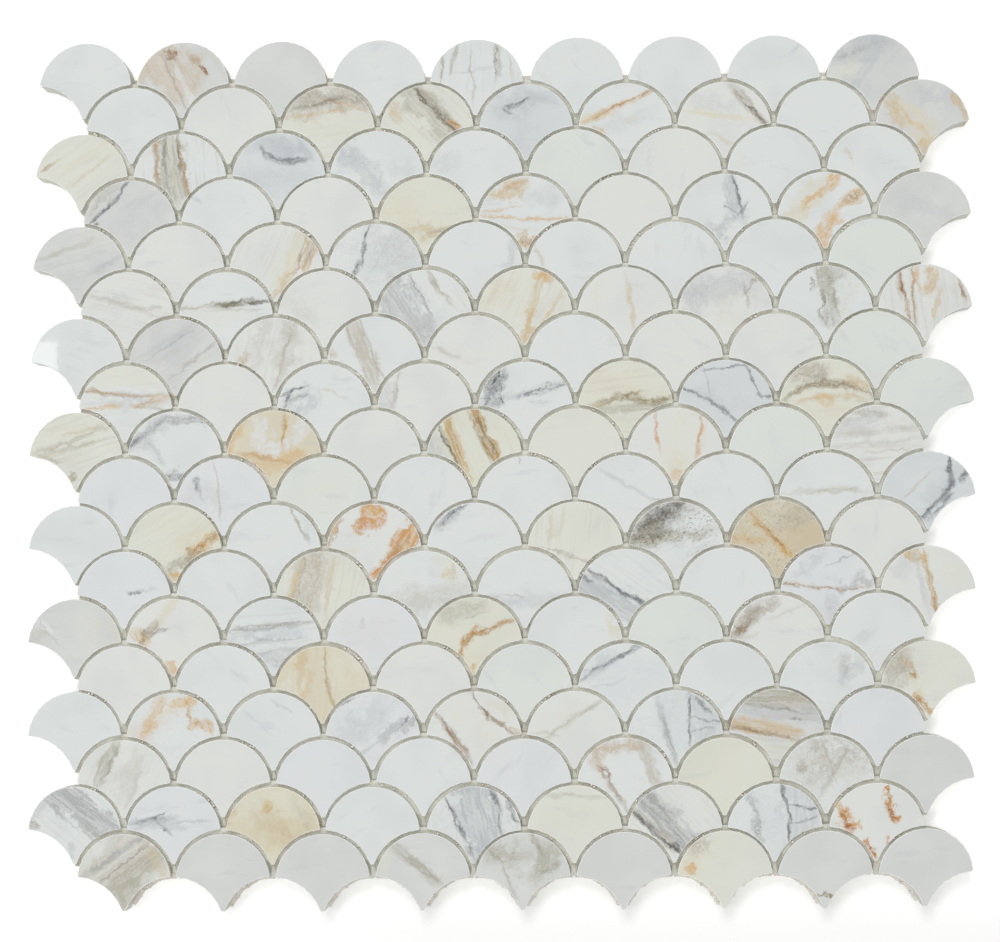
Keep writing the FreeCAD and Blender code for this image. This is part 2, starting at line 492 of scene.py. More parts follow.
        cloud("cream", 6.5, 5.0, 80, 14, 4, 0.5),
        specks=0.5,
    ),
    (6, 9): look(
        "warm_white",
        vein("rust", -6.3, 4.4, -77, 20, 1.2, 0.95, core="dark_rust"),
        vein("rust", -3.8, 5.4, -88, 20, 1.1, 0.95),
        patch("gold", 1.6, 9.5, 80, 10, 3.4, 0.7),
        vein("rust", 12.0, 7.8, -74, 10, 1.5, 0.85, core="dark_rust"),
        vein("orange", -2.6, 10.6, -82, 8, 1.3, 0.7),
        patch("gold", 3.8, 2.4, 75, 11, 1.8, 0.5),
        vein("taupe", -8.5, 9.0, -80, 10, 1.2, 0.5),
        grain=-82, lines=0.6,
    ),
    (7, 2): look(
        "pale_grey",
        vein("cool_grey", 0.0, 9.5, 32, 22, 2.2, 0.6),
        vein("slate", -2.0, 6.6, 33, 20, 0.5, 0.4),
        vein("taupe", 8.0, 4.0, 38, 14, 1.1, 0.6),
        cloud("cool_grey", -2.0, 5.0, 30, 26, 10, 0.5),
        vein("dark_grey", 2.0, -1.5, 35, 12, 0.8, 0.5),
        grain=32, lines=0.5,
    ),
    (7, 3): look(
        "warm_white",
        cloud("warm_grey", 4.0, 6.5, 80, 24, 6, 0.8),
        cloud("warm_grey", -5.0, 8.0, 80, 20, 5, 0.6),
        patch("pink_brown", -10.2, 1.8, 45, 6, 2.4, 0.75),
        patch("rust", -9.0, 0.2, -20, 4, 1, 0.55),
        vein("taupe", 3.0, 2.5, 75, 22, 0.9, 0.55),
        grain=80, lines=0.5,
    ),
    (7, 4): look(
        "white",
        band("warm_taupe", -4.0, 5.0, -68, 30, 5.4, 0.85),
        vein("taupe", -1.4, 5.0, -68, 25, 0.8, 0.55),
        patch("pink_brown", -14.0, 3.6, -45, 5, 1.4, 0.7),
        vein("taupe", -6.5, 5.5, -68, 22, 0.6, 0.35),
    ),
    (7, 5): look(
        "warm_white",
        vein("taupe", -9.0, 3.5, -20, 9, 1.4, 0.5),
        cloud("pinkish", -5, 2, -20, 14, 4, 0.3),
    ),
    (8, 1): look(
        "white",
        cloud("cream", 0.0, 11.5, 0, 28, 8, 0.95),
        vein("rust", -1.0, 5.9, -3, 30, 1.4, 0.8, bend=0.5),
        vein("orange", -8.0, 1.4, 11, 14, 1.8, 0.75),
        vein("orange", 8.0, 3.4, 13, 13, 2.0, 0.75, core="rust"),
        cloud("cool_grey", 0.0, 3.6, 0, 24, 2.4, 0.6),
        vein("taupe", 8.0, 1.5, -6, 12, 1.0, 0.6),
        grain=3, lines=0.4,
    ),
    (8, 3): look(
        "white",
        vein("slate", -9.4, 6.8, 20, 9, 0.9, 0.95),
        vein("slate", -12.0, 4.0, 62, 6, 0.9, 0.9),
        vein("slate", -8.0, 4.4, 18, 8, 0.7, 0.65),
        cloud("blue_grey", -9.0, 5.0, 25, 10, 3, 0.6),
        cloud("cool_grey", -6.0, 1.6, 30, 11, 4, 0.8),
        vein("warm_grey", 4.0, 5.4, -30, 11, 1.0, 0.5),
    ),
    (8, 4): look(
        "warm_white",
        vein("taupe", -9.2, 7.2, 84, 12, 1.4, 0.6),
        cloud("lilac_grey", -12.5, 4, 80, 10, 4, 0.6),
    ),
    (8, 5): look(
        "white",
        cloud("slate", -10.6, 5.8, 64, 15, 4.6, 0.7),
        patch("near_black", -9.2, 9.8, 58, 6, 1.0, 0.85),
        patch("near_black", -8.2, 5.0, 85, 6, 0.7, 0.7),
        vein("cool_grey", 4.0, 5.8, 14, 20, 2.4, 0.9),
        vein("slate", 5.0, 5.9, 14, 15, 0.8, 0.65),
        cloud("blue_grey", -9.0, 2.5, 40, 10, 3, 0.5),
        specks=0.8,
    ),
    (8, 6): look(
        "cream",
        cloud("honey", -5.0, 8.5, -14, 22, 8, 0.55),
        cloud("cream_white", 4.0, 10.0, 0, 16, 6, 0.6),
        band("olive_grey", 1.5, -0.2, 3, 26, 3.2, 0.7),
        vein("olive_brown", -4.0, 2.6, 16, 16, 2.0, 0.9),
        vein("olive_brown", 8.4, 1.8, -2, 15, 1.9, 0.9, bend=1.2),
        vein("rust", 3.6, 4.8, 60, 3.4, 0.8, 0.6),
        vein("honey", -10.0, 1.0, 10, 8, 1.6, 0.6),
        grain=5, lines=0.6,
    ),
    (8, 7): look(
        "pale_blue",
        vein("slate", -9.0, 4.0, -26, 11, 1.0, 0.95),
        vein("slate", -1.0, -1.0, -42, 12, 1.0, 0.9),
        vein("slate", 1.0, 12.8, 6, 17, 0.7, 0.7),
        vein("slate", 8.5, 8.4, -66, 11, 0.9, 0.75),
        vein("slate", 12.8, 3.4, -20, 6, 0.9, 0.7),
        vein("dark_grey", -6.2, 8.6, -76, 10, 0.7, 0.65),
        cloud("lilac_grey", 0.0, 1.0, -20, 26, 6, 0.4),
    ),
    (8, 8): look(
        "cream",
        cloud("taupe", -5.5, 11.0, 12, 12, 5, 0.75),
        vein("olive_brown", 0.0, 7.4, 3, 29, 2.2, 0.85, bend=-5.0),
        patch("gold", 10.0, 7.6, -30, 9, 3, 0.6),
        patch("orange", -1.0, 2.2, -40, 7, 3, 0.6),
        vein("gold", 0.0, 3.2, 5, 26, 1.5, 0.55, bend=-3.0),
        cloud("honey", 0.0, -2.0, 0, 14, 6, 0.4),
        vein("rust", 7.5, 7.0, -25, 6, 0.8, 0.5),
        grain=4, lines=0.3,
    ),
    (9, 1): look(
        "cream_white",
        cloud("cream", -5.0, 7.0, 16, 24, 12, 0.6),
        vein("olive_grey", 0.0, 6.8, 18, 28, 1.4, 0.7),
        vein("olive_grey", -2.0, 3.6, 15, 26, 1.4, 0.6),
        vein("honey", -7.0, 1.8, 8, 16, 1.2, 0.6),
        vein("tan", 3.0, 9.6, 18, 14, 1.2, 0.55),
        patch("olive_brown", -1.5, -6.0, 60, 4.5, 2.2, 0.7),
        vein("olive", -8.0, 0.4, -18, 8, 0.8, 0.5),
        grain=17, lines=0.9,
    ),
    (9, 2): look(
        "white",
        vein("slate", -9.0, 8.4, 38, 15, 1.5, 0.85),
        vein("dark_grey", 3.5, 12.4, -3, 18, 2.6, 0.75),
        cloud("cool_grey", -9.0, 7.2, 40, 15, 5, 0.7),
        vein("cool_grey", -6.5, 2.4, -58, 12, 1.6, 0.65),
        cloud("slate", 1.2, -5.6, 18, 10, 3.2, 0.7),
        vein("slate", -13.0, 5.2, 45, 4, 1.4, 0.7),
        specks=0.4,
    ),
    (9, 3): look(
        "honey",
        patch("orange", 0.0, -1.4, 0, 32, 6.4, 0.6),
        patch("lilac_white", -4.5, 8.0, 76, 10, 5.4, 0.95),
        patch("lilac_white", 0.0, 3.4, 8, 10, 4.0, 0.95),
        patch("lilac_white", 8.4, 9.4, 60, 11, 4.6, 0.9),
        vein("orange", 3.2, 8.6, 84, 13, 1.8, 0.9, core="rust"),
        vein("orange", -12.4, 6.0, 62, 15, 2.4, 0.7),
        vein("orange_brown", -2.0, 0.0, -12, 20, 1.2, 0.5),
        grain=10, lines=0.2,
    ),
    (9, 4): look("warm_white"),
    (9, 5): look(
        "cream",
        cloud("cool_grey", -13.0, 2.4, -60, 9, 4, 0.9),
        band("gold", -5.8, 3.4, -70, 28, 3.4, 0.9, core="deep_gold"),
        vein("dark_olive", -7.9, 2.6, -67, 19, 1.1, 0.95),
        band("deep_gold", 3.8, 7.0, -66, 22, 4.0, 1.0, core="olive_brown"),
        vein("brown", 1.9, 6.0, -66, 17, 0.9, 0.75),
        cloud("cream_white", -1.5, 4.0, -68, 20, 3.5, 0.6),
        grain=-67, lines=0.5,
    ),
    (9, 6): look("cream_white"),
    (9, 7): look(
        "warm_white",
        cloud("cream", 1.0, 5.5, 85, 20, 12, 0.7),
        vein("red_orange", -6.3, 8.0, -84, 14, 0.9, 0.9, bend=0.8),
        vein("red_orange", 7.6, 6.6, 82, 15, 1.1, 0.9),
        cloud("honey", 1.0, -4.6, 88, 10, 6, 0.7),
        patch("orange", 0.5, -6.4, 88, 4, 3, 0.5),
        vein("pinkish", 9.5, 7.5, 80, 14, 1.4, 0.5),
    ),
    (9, 9): look(
        "warm_white",
        vein("olive_grey", -2.0, 12.6, -5, 12, 1.6, 0.7),
        vein("warm_grey", 0.0, 6.6, 6, 26, 2.0, 0.7),
        vein("warm_grey", 2.0, 3.2, 5, 24, 1.4, 0.6),
        cloud("cool_grey", -6.0, 9.6, 15, 16, 5, 0.6),
        vein("olive_grey", 4.0, 0.5, 4, 16, 1.0, 0.5),
        grain=6, lines=0.9,
    ),
    (10, 2): look(
        "lilac_white",
        vein("slate", -8.8, 6.6, -75, 5, 1.4, 0.8),
        vein("taupe", -2.0, 4.6, -85, 20, 0.6, 0.6),
        cloud("lilac_grey", -6.0, 3.5, 0, 14, 8, 0.45),
        vein("dark_grey", -7.0, 4.0, -70, 5, 0.7, 0.5),
    ),
    (10, 3): look("green_white", cloud("cream", -2, 4, 30, 24, 12, 0.5)),
    (10, 5): look("white", vein("slate", -1.5, 13.6, -85, 2, 0.8, 0.5)),
    (10, 6): look(
        "white",
        vein("cool_grey", 2.0, 4.6, -32, 25, 1.1, 0.65),
        vein("slate", 11.0, 0.2, -20, 5, 0.8, 0.5),
    ),
    (10, 8): look(
        "white",
        vein("warm_grey", 0.0, 3.2, 2, 25, 1.8, 0.8, bend=-0.8),
        vein("taupe", 3, 3.4, 6, 14, 0.6, 0.4),
    ),
    (10, 9): look(
        "pale_blue",
        vein("slate", 7.0, 9.6, -86, 11, 1.3, 1.0),
        vein("slate", 6.0, 3.6, 62, 8, 1.5, 1.0),
        vein("slate", 1.2, -3.0, 42, 15, 1.9, 1.0),
        vein("slate", 11.8, 8.0, 60, 6, 1.6, 0.95),
        vein("pink_brown", -3.5, 4.6, 42, 13, 0.7, 0.7),
        vein("slate", 5.0, -1.6, 50, 9, 1.1, 0.8),
        cloud("blue_grey", 4.0, 2.0, 50, 20, 6, 0.35),
    ),
    (11, 1): look("cool_white"),
    (11, 2): look(
        "cream",
        cloud("honey", 6.0, 4.5, 30, 14, 6, 0.6),
        patch("gold", 9.5, 2.8, 34, 14, 3.8, 0.9, core="rust"),
        patch("orange", 7.6, 1.2, 38, 7, 1.8, 0.95, core="dark_rust"),
        cloud("taupe", 2.2, -3.6, 30, 13, 5, 0.85),
        patch("orange", 0.0, -7.4, 0, 4, 3, 0.8),
        grain=32, lines=0.3,
    ),
    (11, 3): look(
        "white",
        vein("taupe", 8.4, 8.6, -66, 12, 1.0, 0.8),
        cloud("cool_grey", 11, 8, -66, 10, 3, 0.4),
    ),
    (11, 4): look(
        "warm_white",
        patch("burnt_orange", -0.4, 11.4, 0, 8.5, 5.6, 0.95, core="orange"),
        patch("burnt_orange", -3.6, 8.0, 70, 6, 3.6, 0.9),
        patch("rust", -12.7, 7.4, 66, 16, 2.6, 0.85, core="orange"),
        band("burnt_orange", 11.8, 4.6, 58, 22, 7.4, 0.95, core="orange"),
        patch("burnt_orange", 3.6, -4.6, 45, 14, 4.2, 0.98),
        patch("rust", 7.8, 1.0, 50, 12, 1.0, 0.6),
        vein("honey", -9.5, -1.0, 20, 10, 1.4, 0.5),
    ),
    (11, 5): look(
        "white",
        vein("slate", -7.4, 11.2, 37, 12, 1.9, 0.9),
        cloud("cool_grey", -9.0, 9.0, 36, 10, 3.4, 0.7),
        vein("lilac_grey", 3, 4, 10, 12, 1.0, 0.3),
    ),
    (11, 6): look(
        "cream_white",
        vein("tan", -8.0, 6.6, 86, 12, 1.6, 0.55),
        vein("tan", -4.5, 8.0, 80, 10, 1.2, 0.4),
        vein("taupe", -1.0, -2.2, -18, 20, 1.0, 0.65),
        cloud("cream", 0.0, 6.5, 80, 18, 12, 0.5),
        grain=84, lines=0.4,
    ),
    (11, 7): look(
        "white",
        cloud("dark_taupe", -6.0, 9.6, 36, 22, 8, 0.85),
        patch("near_black", -4.5, 11.0, 30, 16, 3, 0.6),
        patch("dark_olive", -9.5, 6.5, 40, 12, 3, 0.6),
        cloud("olive_grey", -2.0, 4.0, 8, 27, 4.4, 0.95),
        patch("dark_olive", -7.0, 4.4, 10, 12, 2.0, 0.5),
        patch("white", 7.5, 9.6, 10, 12, 5.6, 0.8),
        grain=25, specks=1.0, lines=0.2,
    ),
    (11, 8): look(
        "tan",
        cloud("cream", -3.0, 10.0, 20, 22, 9, 0.55),
        cloud("honey", 2.0, -3.0, -20, 16, 8, 0.6),
        vein("orange", -2.0, 4.0, -48, 21, 2.2, 0.95, core="rust"),
        patch("orange", -9.0, 2.6, -15, 11, 2.6, 0.5),
        patch("orange", 3.0, -2.2, -50, 7, 2.6, 0.7),
        cloud("taupe", 5.5, 10.0, 10, 14, 6, 0.45),
        grain=-48, specks=0.8, lines=0.2,
    ),
    (12, 1): look(
        "lilac_white",
        vein("slate", 3.7, 2.2, 8, 5, 1.0, 0.8),
        vein("cool_grey", 8.0, 2.8, 5, 6, 0.7, 0.6),
    ),
    (12, 3): look(
        "cream_white",
        cloud("warm_taupe", -4.6, 4.6, 79, 30, 8.6, 1.0),
        vein("gold", -10.2, 2.6, 70, 20, 1.8, 0.65),
        vein("tan", 1.8, 2.6, 82, 22, 1.6, 0.7),
        vein("dark_taupe", -7.0, 8.0, 78, 14, 1.0, 0.3),
        cloud("cream", 7.0, 4.0, 80, 24, 8, 0.7),
        grain=79, lines=0.6,
    ),
    (12, 4): look(
        "white",
        cloud("warm_grey", 2.0, -0.6, 8, 32, 9, 0.7),
        cloud("cream", 7.5, 9.6, -60, 12, 5, 0.8),
        patch("tan", 7.5, 8.6, 70, 6, 2, 0.6),
        patch("pink_brown", 9.5, 7.2, -20, 3, 1, 0.5),
    ),
    (12, 5): look(
        "white",
        cloud("cool_grey", 0.0, -1.2, 3, 28, 4, 0.6),
        vein("taupe", -7.0, 0.7, -2, 13, 0.6, 0.5),
    ),
    (12, 6): look(
        "white",
        band("blue_grey", -4.4, -1.2, -32, 32, 8.4, 0.85),
        vein("slate", -3.6, 3.2, -32, 27, 1.1, 0.9),
        vein("slate", 6.0, -2.2, -38, 8, 2.2, 0.8),
        vein("cool_grey", -9.0, 1.8, -35, 12, 1.8, 0.8),
        patch("slate", -12.5, 5.8, -40, 5, 1.4, 0.7),
        grain=-34, lines=0.5,
    ),
    (12, 8): look(
        "lilac_white",
        vein("pink_brown", 0.0, 1.9, -3, 30, 1.2, 0.95, bend=1.2, core="brown"),
        patch("brown", -12.0, 3.6, -15, 6, 1.2, 0.8),
        cloud("dark_grey", 9.0, 3.4, 10, 12, 2.6, 0.65),
        cloud("lilac_grey", 1.0, -4.6, 80, 9, 6, 0.8),
        cloud("cool_grey", -6.0, 9.5, 40, 12, 3, 0.6),
        vein("slate", 4.0, 11.0, 20, 10, 0.6, 0.4),
    ),
    (12, 9): look(
        "warm_white",
        patch("gold", -4.5, 12.2, -22, 8, 4.2, 0.85),
        band("gold", 0.6, 3.2, -77, 24, 1.9, 0.9, core="rust"),
        vein("cool_grey", -2.0, 3.4, -76, 20, 2.0, 0.7),
        cloud("cream", 8.0, 5.0, -70, 20, 8, 0.6),
        patch("rust", 2.0, -4.0, -78, 7, 0.9, 0.6),
        cloud("lilac_grey", -8.5, 8.0, 60, 8, 4, 0.4),
    ),
    (13, 1): look(
        "pale_grey",
        cloud("warm_grey", -13.0, 3.6, 60, 9, 4, 0.7),
        vein("white", -10.0, 6.6, -50, 16, 1.8, 0.9),
        vein("taupe", -8.5, 5.0, -52, 14, 0.6, 0.4),
        cloud("honey", 13.4, 5.2, -70, 9, 3, 0.7),
        cloud("cream", 4.0, 5.0, -60, 16, 8, 0.4),
    ),
    (13, 2): look(
        "warm_white",
        vein("honey", -3.2, 9.4, 52, 17, 2.6, 0.75),
        vein("taupe", -7.8, 4.4, 55, 9, 2.4, 0.85),
        vein("dark_taupe", -5.0, 4.4, 20, 7, 1.3, 0.65),
        patch("gold", -11.0, 2.0, -50, 8, 3, 0.6),
        patch("orange", 0.0, -7.0, 88, 5, 4, 0.75),
        patch("brown", -9.0, 3.0, 60, 5, 1.0, 0.6),
    ),
    (13, 3): look(
        "cool_white",
        vein("dark_grey", -1.0, 6.0, 5, 28, 1.5, 0.85),
        vein("olive", -1.0, 6.8, 6, 24, 0.6, 0.6),
        cloud("cool_grey", -3.0, 3.2, 4, 26, 3.2, 0.8),
        vein("dark_grey", -3.0, 1.4, 4, 22, 0.9, 0.6),
        cloud("cool_grey", 1.0, -3.8, 6, 16, 4.6, 0.8),
        vein("dark_grey", 1.0, -1.5, 8, 14, 0.8, 0.5),
        grain=5, lines=0.6,
    ),
    (13, 4): look(
        "lilac_white",
        patch("cool_grey", -3.3, 7.0, 70, 4, 2, 0.6),
        cloud("pinkish", -2, 5, 0, 20, 12, 0.2),
    ),
    (13, 5): look(
        "cream",
        cloud("olive_grey", -4.0, 11.0, 12, 15, 5, 0.6),
        cloud("honey", 0.0, -4.6, 0, 14, 7, 0.55),
        vein("orange_brown", 5.5, 5.4, 18, 17, 1.5, 1.0, core="rust"),
        vein("orange_brown", -1.4, 2.6, 50, 8, 1.9, 1.0, core="rust"),
        vein("orange_brown", -4.0, -1.4, 82, 8, 1.3, 0.9),
        patch("gold", -0.6, -7.6, 60, 4, 2, 0.7),
        vein("taupe", 0.0, 9.0, 20, 10, 0.6, 0.4),
    ),
    (13, 6): look("white", cloud("honey", 13.0, 5.2, -70, 10, 3.6, 0.85)),
    (13, 7): look("green_white"),
    (13, 8): look(
        "warm_white",
        vein("olive_brown", -10.6, 5.6, 48, 15, 3.2, 0.7),
        cloud("taupe", -6.0, 10.0, 35, 17, 4, 0.65),
        patch("brown", -10.5, 5.0, 38, 8, 1.8, 0.75),
        vein("warm_grey", 4.0, 9.6, 20, 14, 1.4, 0.5),
        vein("tan", -9.0, 1.5, 20, 8, 1.0, 0.4),
        specks=0.3,
    ),
    (14, 1): look("warm_white"),
    (14, 3): look(
        "honey",
        cloud("cream", 6.0, 8.0, 80, 18, 10, 0.75),
        cloud("cream_white", -11.0, 2.0, 70, 10, 5, 0.7),
        patch("gold", -7.0, 8.0, 86, 14, 3.0, 0.5),
        patch("orange", -5.0, 3.0, 84, 10, 2.0, 0.35),
        vein("rust", 1.4, 6.4, -82, 15, 1.0, 0.8),
        vein("rust", 3.4, -3.2, -66, 10, 1.0, 0.7),
        cloud("honey", -1.0, -3.0, 80, 14, 8, 0.5),
        grain=84, lines=0.4,
    ),
    (14, 4): look("warm_white"),
    (14, 6): look(
        "cool_white",
        vein("slate", -5.0, 9.2, 31, 22, 1.4, 0.9),
        cloud("cool_grey", -9.0, 7.0, 30, 13, 3.4, 0.8),
        cloud("pale_blue", 3.0, 2.5, 20, 22, 9, 0.7),
        vein("cool_grey", -6.0, 2.0, 20, 14, 0.9, 0.5),
    ),
    (14, 8): look(
        "white",
        cloud("cool_grey", 7.5, 5.6, 60, 11, 5, 0.75),
        cloud("taupe", 6.0, 8.0, 50, 6, 3, 0.4),
    ),
    (14, 9): look(
        "cream_white",
        cloud("taupe", -10.0, 7.6, 70, 13, 7, 0.75),
        patch("gold", -5.8, 6.5, -60, 8, 2.6, 0.65, core="rust"),
        patch("rust", -4.8, 4.2, -60, 2.6, 1.6, 0.9),
        patch("gold", -1.6, -4.8, -60, 9, 2.8, 0.95, core="rust"),
        vein("honey", -4.0, 0.6, -60, 9, 1.6, 0.65),
        cloud("cream", 2.0, 5.0, 60, 16, 9, 0.4),
    ),
    (15, 2): look(
        "white",
        cloud("pinkish", -8.0, 3.6, 40, 14, 7, 0.8),
        patch("orange", -6.4, 7.6, 62, 15, 3.4, 0.65),
        patch("orange", 3.6, 12.0, 30, 10, 4.4, 0.8),
        patch("honey", -1.0, 10.0, 40, 10, 4, 0.6),
        patch("orange", 5.4, 7.6, -76, 10, 2.0, 0.75, core="orange_brown"),
        patch("orange", 9.6, 4.6, 0, 7, 3.2, 0.75, core="orange_brown"),
        patch("lilac_white", 1.6, 7.0, 80, 7, 3.4, 0.85),
    ),
    (15, 3): look(
        "cool_white",
        vein("cool_grey", -5.0, 5.6, -40, 12, 0.9, 0.5),
        vein("blue_grey", 3, 11, -30, 8, 0.8, 0.5),
    ),
    (15, 4): look(
        "lilac_white",
        vein("slate", -10.0, 11.4, 25, 9, 1.0, 0.65),
        cloud("dark_grey", 8.5, 3.2, 30, 14, 2.6, 0.75),
        cloud("cool_grey", -3.0, 4.6, 40, 18, 6, 0.6),
        vein("cool_grey", 0.0, -1.4, 35, 20, 1.4, 0.7),
        vein("slate", 10.0, 6.0, 50, 4, 0.9, 0.6),
        grain=35, crackle=0.15,
    ),
    (15, 5): look(
        "warm_white",
        vein("brown", -8.6, 3.6, -56, 14, 1.2, 0.9),
        vein("brown", -4.4, -3.0, -60, 13, 2.4, 0.95, core="pink_brown"),
        vein("brown", 1.8, 10.4, -52, 12, 1.1, 0.95),
        vein("brown", 9.0, 4.4, -33, 14, 1.1, 0.9),
        patch("pink_brown", 12.8, 2.0, -20, 5, 2.6, 0.8),
        cloud("cream", 0.0, 5.0, -50, 20, 8, 0.5),
        cloud("honey", 8.0, 10.0, -40, 10, 4, 0.5),
    ),
    (15, 6): look(
        "warm_white",
        vein("olive_grey", -1.0, 6.0, 33, 21, 1.7, 0.8),
        vein("olive_grey", -9.0, 1.5, -10, 10, 0.9, 0.5),
        cloud("cream", -5.0, 6.0, 30, 18, 8, 0.4),
    ),
    (15, 7): look(
        "cool_white",
        cloud("pale_blue", -1.0, 6.5, -70, 22, 8, 0.9),
        band("cool_grey", 9.6, 6.5, -86, 24, 9.6, 0.65),
        vein("slate", 4.4, 5.4, -88, 17, 0.8, 0.85),
        vein("dark_grey", -2.3, 0.8, -72, 20, 2.0, 0.8),
        vein("slate", 8.5, 10.2, -50, 8, 1.1, 0.75),
        vein("slate", 10.0, 5.6, -10, 10, 0.7, 0.55),
        vein("slate", 8.0, 2.8, 10, 8, 0.6, 0.4),
        crackle=0.2,
    ),
    (15, 8): look(
        "pale_grey",
        band("olive_grey", 1.0, 12.2, -3, 30, 6.4, 0.95),
        vein("dark_taupe", 4.0, 8.2, -9, 22, 0.9, 0.7),
        band("cool_grey", 3.0, 6.8, -6, 30, 4.0, 0.8),
        band("gold", -5.0, 2.8, -8, 26, 4.6, 0.75),
        vein("brown", -2.0, 0.8, -11, 26, 1.1, 0.85),
        cloud("cream", 2.0, -4.6, -10, 20, 5, 0.8),
        vein("slate", 6.0, 5.4, -4, 4, 1.0, 0.6),
        grain=-7, lines=0.9,
    ),
    (16, 1): look(
        "warm_white",
        band("olive_grey", -5.8, 7.5, 66, 17, 3.8, 0.75),
        cloud("warm_grey", 2.0, 3.4, 70, 17, 5, 0.6),
        vein("olive", -3.8, 8.4, 66, 14, 0.8, 0.6),
        vein("warm_grey", 3.0, -0.6, 70, 14, 1.6, 0.6),
        grain=66, lines=0.4,
    ),
    (16, 6): look(
        "white",
        patch("pink_brown", -2.5, 12.4, 4, 18, 4.4, 0.95),
        patch("pink_brown", -8.6, 9.2, -80, 10, 4.4, 0.95),
        band("warm_taupe", 7.2, 7.2, -70, 17, 4.0, 0.8),
        patch("white", 0.4, 6.6, 10, 9, 7, 0.95),
        vein("brown", -4.0, -0.6, -55, 17, 1.3, 0.85),
        patch("dark_rust", -6.0, 4.6, -25, 4.4, 1.3, 0.8),
        vein("pinkish", -6.5, 2.0, -60, 10, 2.0, 0.5),
    ),
    (16, 7): look("cream"),
    (16, 8): look(
        "white",
        cloud("warm_grey", 0.0, 6.5, 0, 26, 16, 0.6),
        patch("taupe", -8.0, 5.2, 0, 4, 2.6, 0.65),
        vein("warm_grey", -3.0, 10.6, -60, 10, 2.0, 0.8),
        vein("taupe", 2.0, 3.6, 60, 20, 1.6, 0.5),
        vein("taupe", 0.0, 8.0, -70, 16, 1.2, 0.4),
        crackle=0.9,
    ),
    (16, 9): look("pale_grey"),
    (17, 1): look(
        "white",
        band("dark_grey", 3.2, 7.2, -38, 32, 9.0, 0.85),
        vein("white", -2.6, 4.6, -42, 28, 1.4, 0.9),
        vein("dark_grey", -6.0, 8.0, -42, 18, 1.0, 0.7),
        cloud("cool_grey", -12.0, 7.6, 50, 10, 4, 0.7),
        patch("taupe", -13.5, 3.2, -20, 5, 1.8, 0.75),
        cloud("cool_grey", -1.0, -6.0, 60, 6, 3, 0.7),
        grain=-40, lines=0.4,
    ),
    (17, 2): look(
        "lilac_white",
        vein("dark_grey", -7.6, 4.2, 8, 17, 1.8, 0.9),
        vein("slate", -7.0, 5.2, 20, 10, 0.8, 0.8),
        vein("slate", -3.0, 2.2, -42, 7, 1.0, 0.7),
        cloud("cool_grey", -5.0, 2.6, 0, 18, 3.6, 0.8),
        vein("dark_grey", 4.5, 3.6, 5, 14, 0.9, 0.5),
    ),
    (17, 3): look(
        "honey",
        cloud("cream", -3.0, 10.0, 0, 24, 9, 0.7),
        cloud("tan", 6.0, -1.0, -30, 26, 9, 0.95),
        patch("gold", -2.0, 8.8, 80, 4.4, 2.8, 0.9),
        patch("gold", -13.2, 5.6, 70, 6, 1.8, 0.5),
        cloud("olive_grey", 9.0, 7.0, -50, 12, 4, 0.35),
    ),
    (17, 5): look(
        "white",
        band("blue_grey", 1.4, 5.6, -76, 34, 13.0, 0.85),
        vein("slate", -6.8, 6.6, -68, 17, 1.0, 0.85),
        vein("slate", -2.8, -1.6, -66, 12, 0.9, 0.75),
        vein("slate", 6.0, 12.4, -60, 9, 1.3, 0.85),
        vein("slate", 12.0, 7.6, -60, 11, 1.5, 0.75),
        vein("slate", 8.0, 2.8, -80, 10, 1.0, 0.65),
        grain=-76, crackle=0.25, lines=0.3,
    ),
    (17, 6): look(
        "cream_white",
        vein("olive_grey", 0.0, 11.6, -3, 17, 1.5, 0.55),
        cloud("cream", 2.0, 4.0, -5, 26, 10, 0.5),
    ),
    (17, 7): look(
        "warm_white",
        band("dark_grey", -4.0, 5.0, -46, 36, 7.6, 0.95),
        band("taupe", -7.4, 1.4, -43, 22, 2.6, 0.7),
        vein("near_black", -5.4, -0.6, -43, 25, 1.1, 0.8),
        vein("cool_grey", -1.2, 7.2, -46, 30, 1.2, 0.7),
        patch("near_black", 1.0, -5.4, -42, 5, 1.8, 0.85),
        grain=-46, lines=0.6,
    ),
    (17, 8): look(
        "cool_white",
        band("cool_grey", 8.0, 6.0, -84, 26, 11.0, 0.7),
        cloud("pale_blue", -2.0, 4.0, -70, 22, 8, 0.7),
        vein("slate", 3.2, 9.4, -72, 13, 1.1, 0.95),
        vein("slate", 4.2, 0.4, 88, 12, 1.0, 0.85),
        vein("slate", 9.6, 7.8, -8, 11, 0.8, 0.75),
        cloud("dark_grey", -6.0, 3.6, -75, 17, 2.0, 0.8),
        vein("slate", 9.0, 3.6, 10, 9, 0.7, 0.6),
        crackle=0.15,
    ),
    (17, 9): look(
        "warm_white",
        patch("orange", -11.6, 7.8, -48, 13, 2.6, 0.8, core="burnt_orange"),
        patch("burnt_orange", -9.4, 3.0, -58, 8.5, 3.2, 1.0, core="dark_rust"),
        patch("burnt_orange", 3.2, 11.2, -82, 9, 1.7, 1.0, core="rust"),
        patch("burnt_orange", 5.0, 6.0, -68, 8, 2.8, 1.0, core="dark_rust"),
        patch("burnt_orange", -1.8, -5.8, -55, 7.6, 2.2, 1.0, core="dark_rust"),
        patch("orange", -5.0, 2.0, 80, 3.4, 1.5, 0.85),
        patch("burnt_orange", 3.0, -2.8, 60, 3, 1.8, 0.85),
    ),
    # Bottom row: most chips have the pale grey ground, darker than their own stone, as painted shade where
    # the light falls off at the near edge of the sheet
    (18, 1): look(
        "warm_white",
        cloud("warm_taupe", 0.0, 6.0, 35, 30, 16, 0.75),
        band("olive_grey", 3.5, 2.5, 38, 26, 6.0, 0.8),
        vein("dark_grey", -2.6, 8.4, 33, 28, 1.6, 0.8),
        vein("white", -2.0, 6.4, 36, 22, 1.0, 0.6),
        vein("dark_taupe", 1.0, 6.4, 38, 22, 0.8, 0.6),
        cloud("tan", 11.4, 5.6, -52, 12, 4, 0.75),
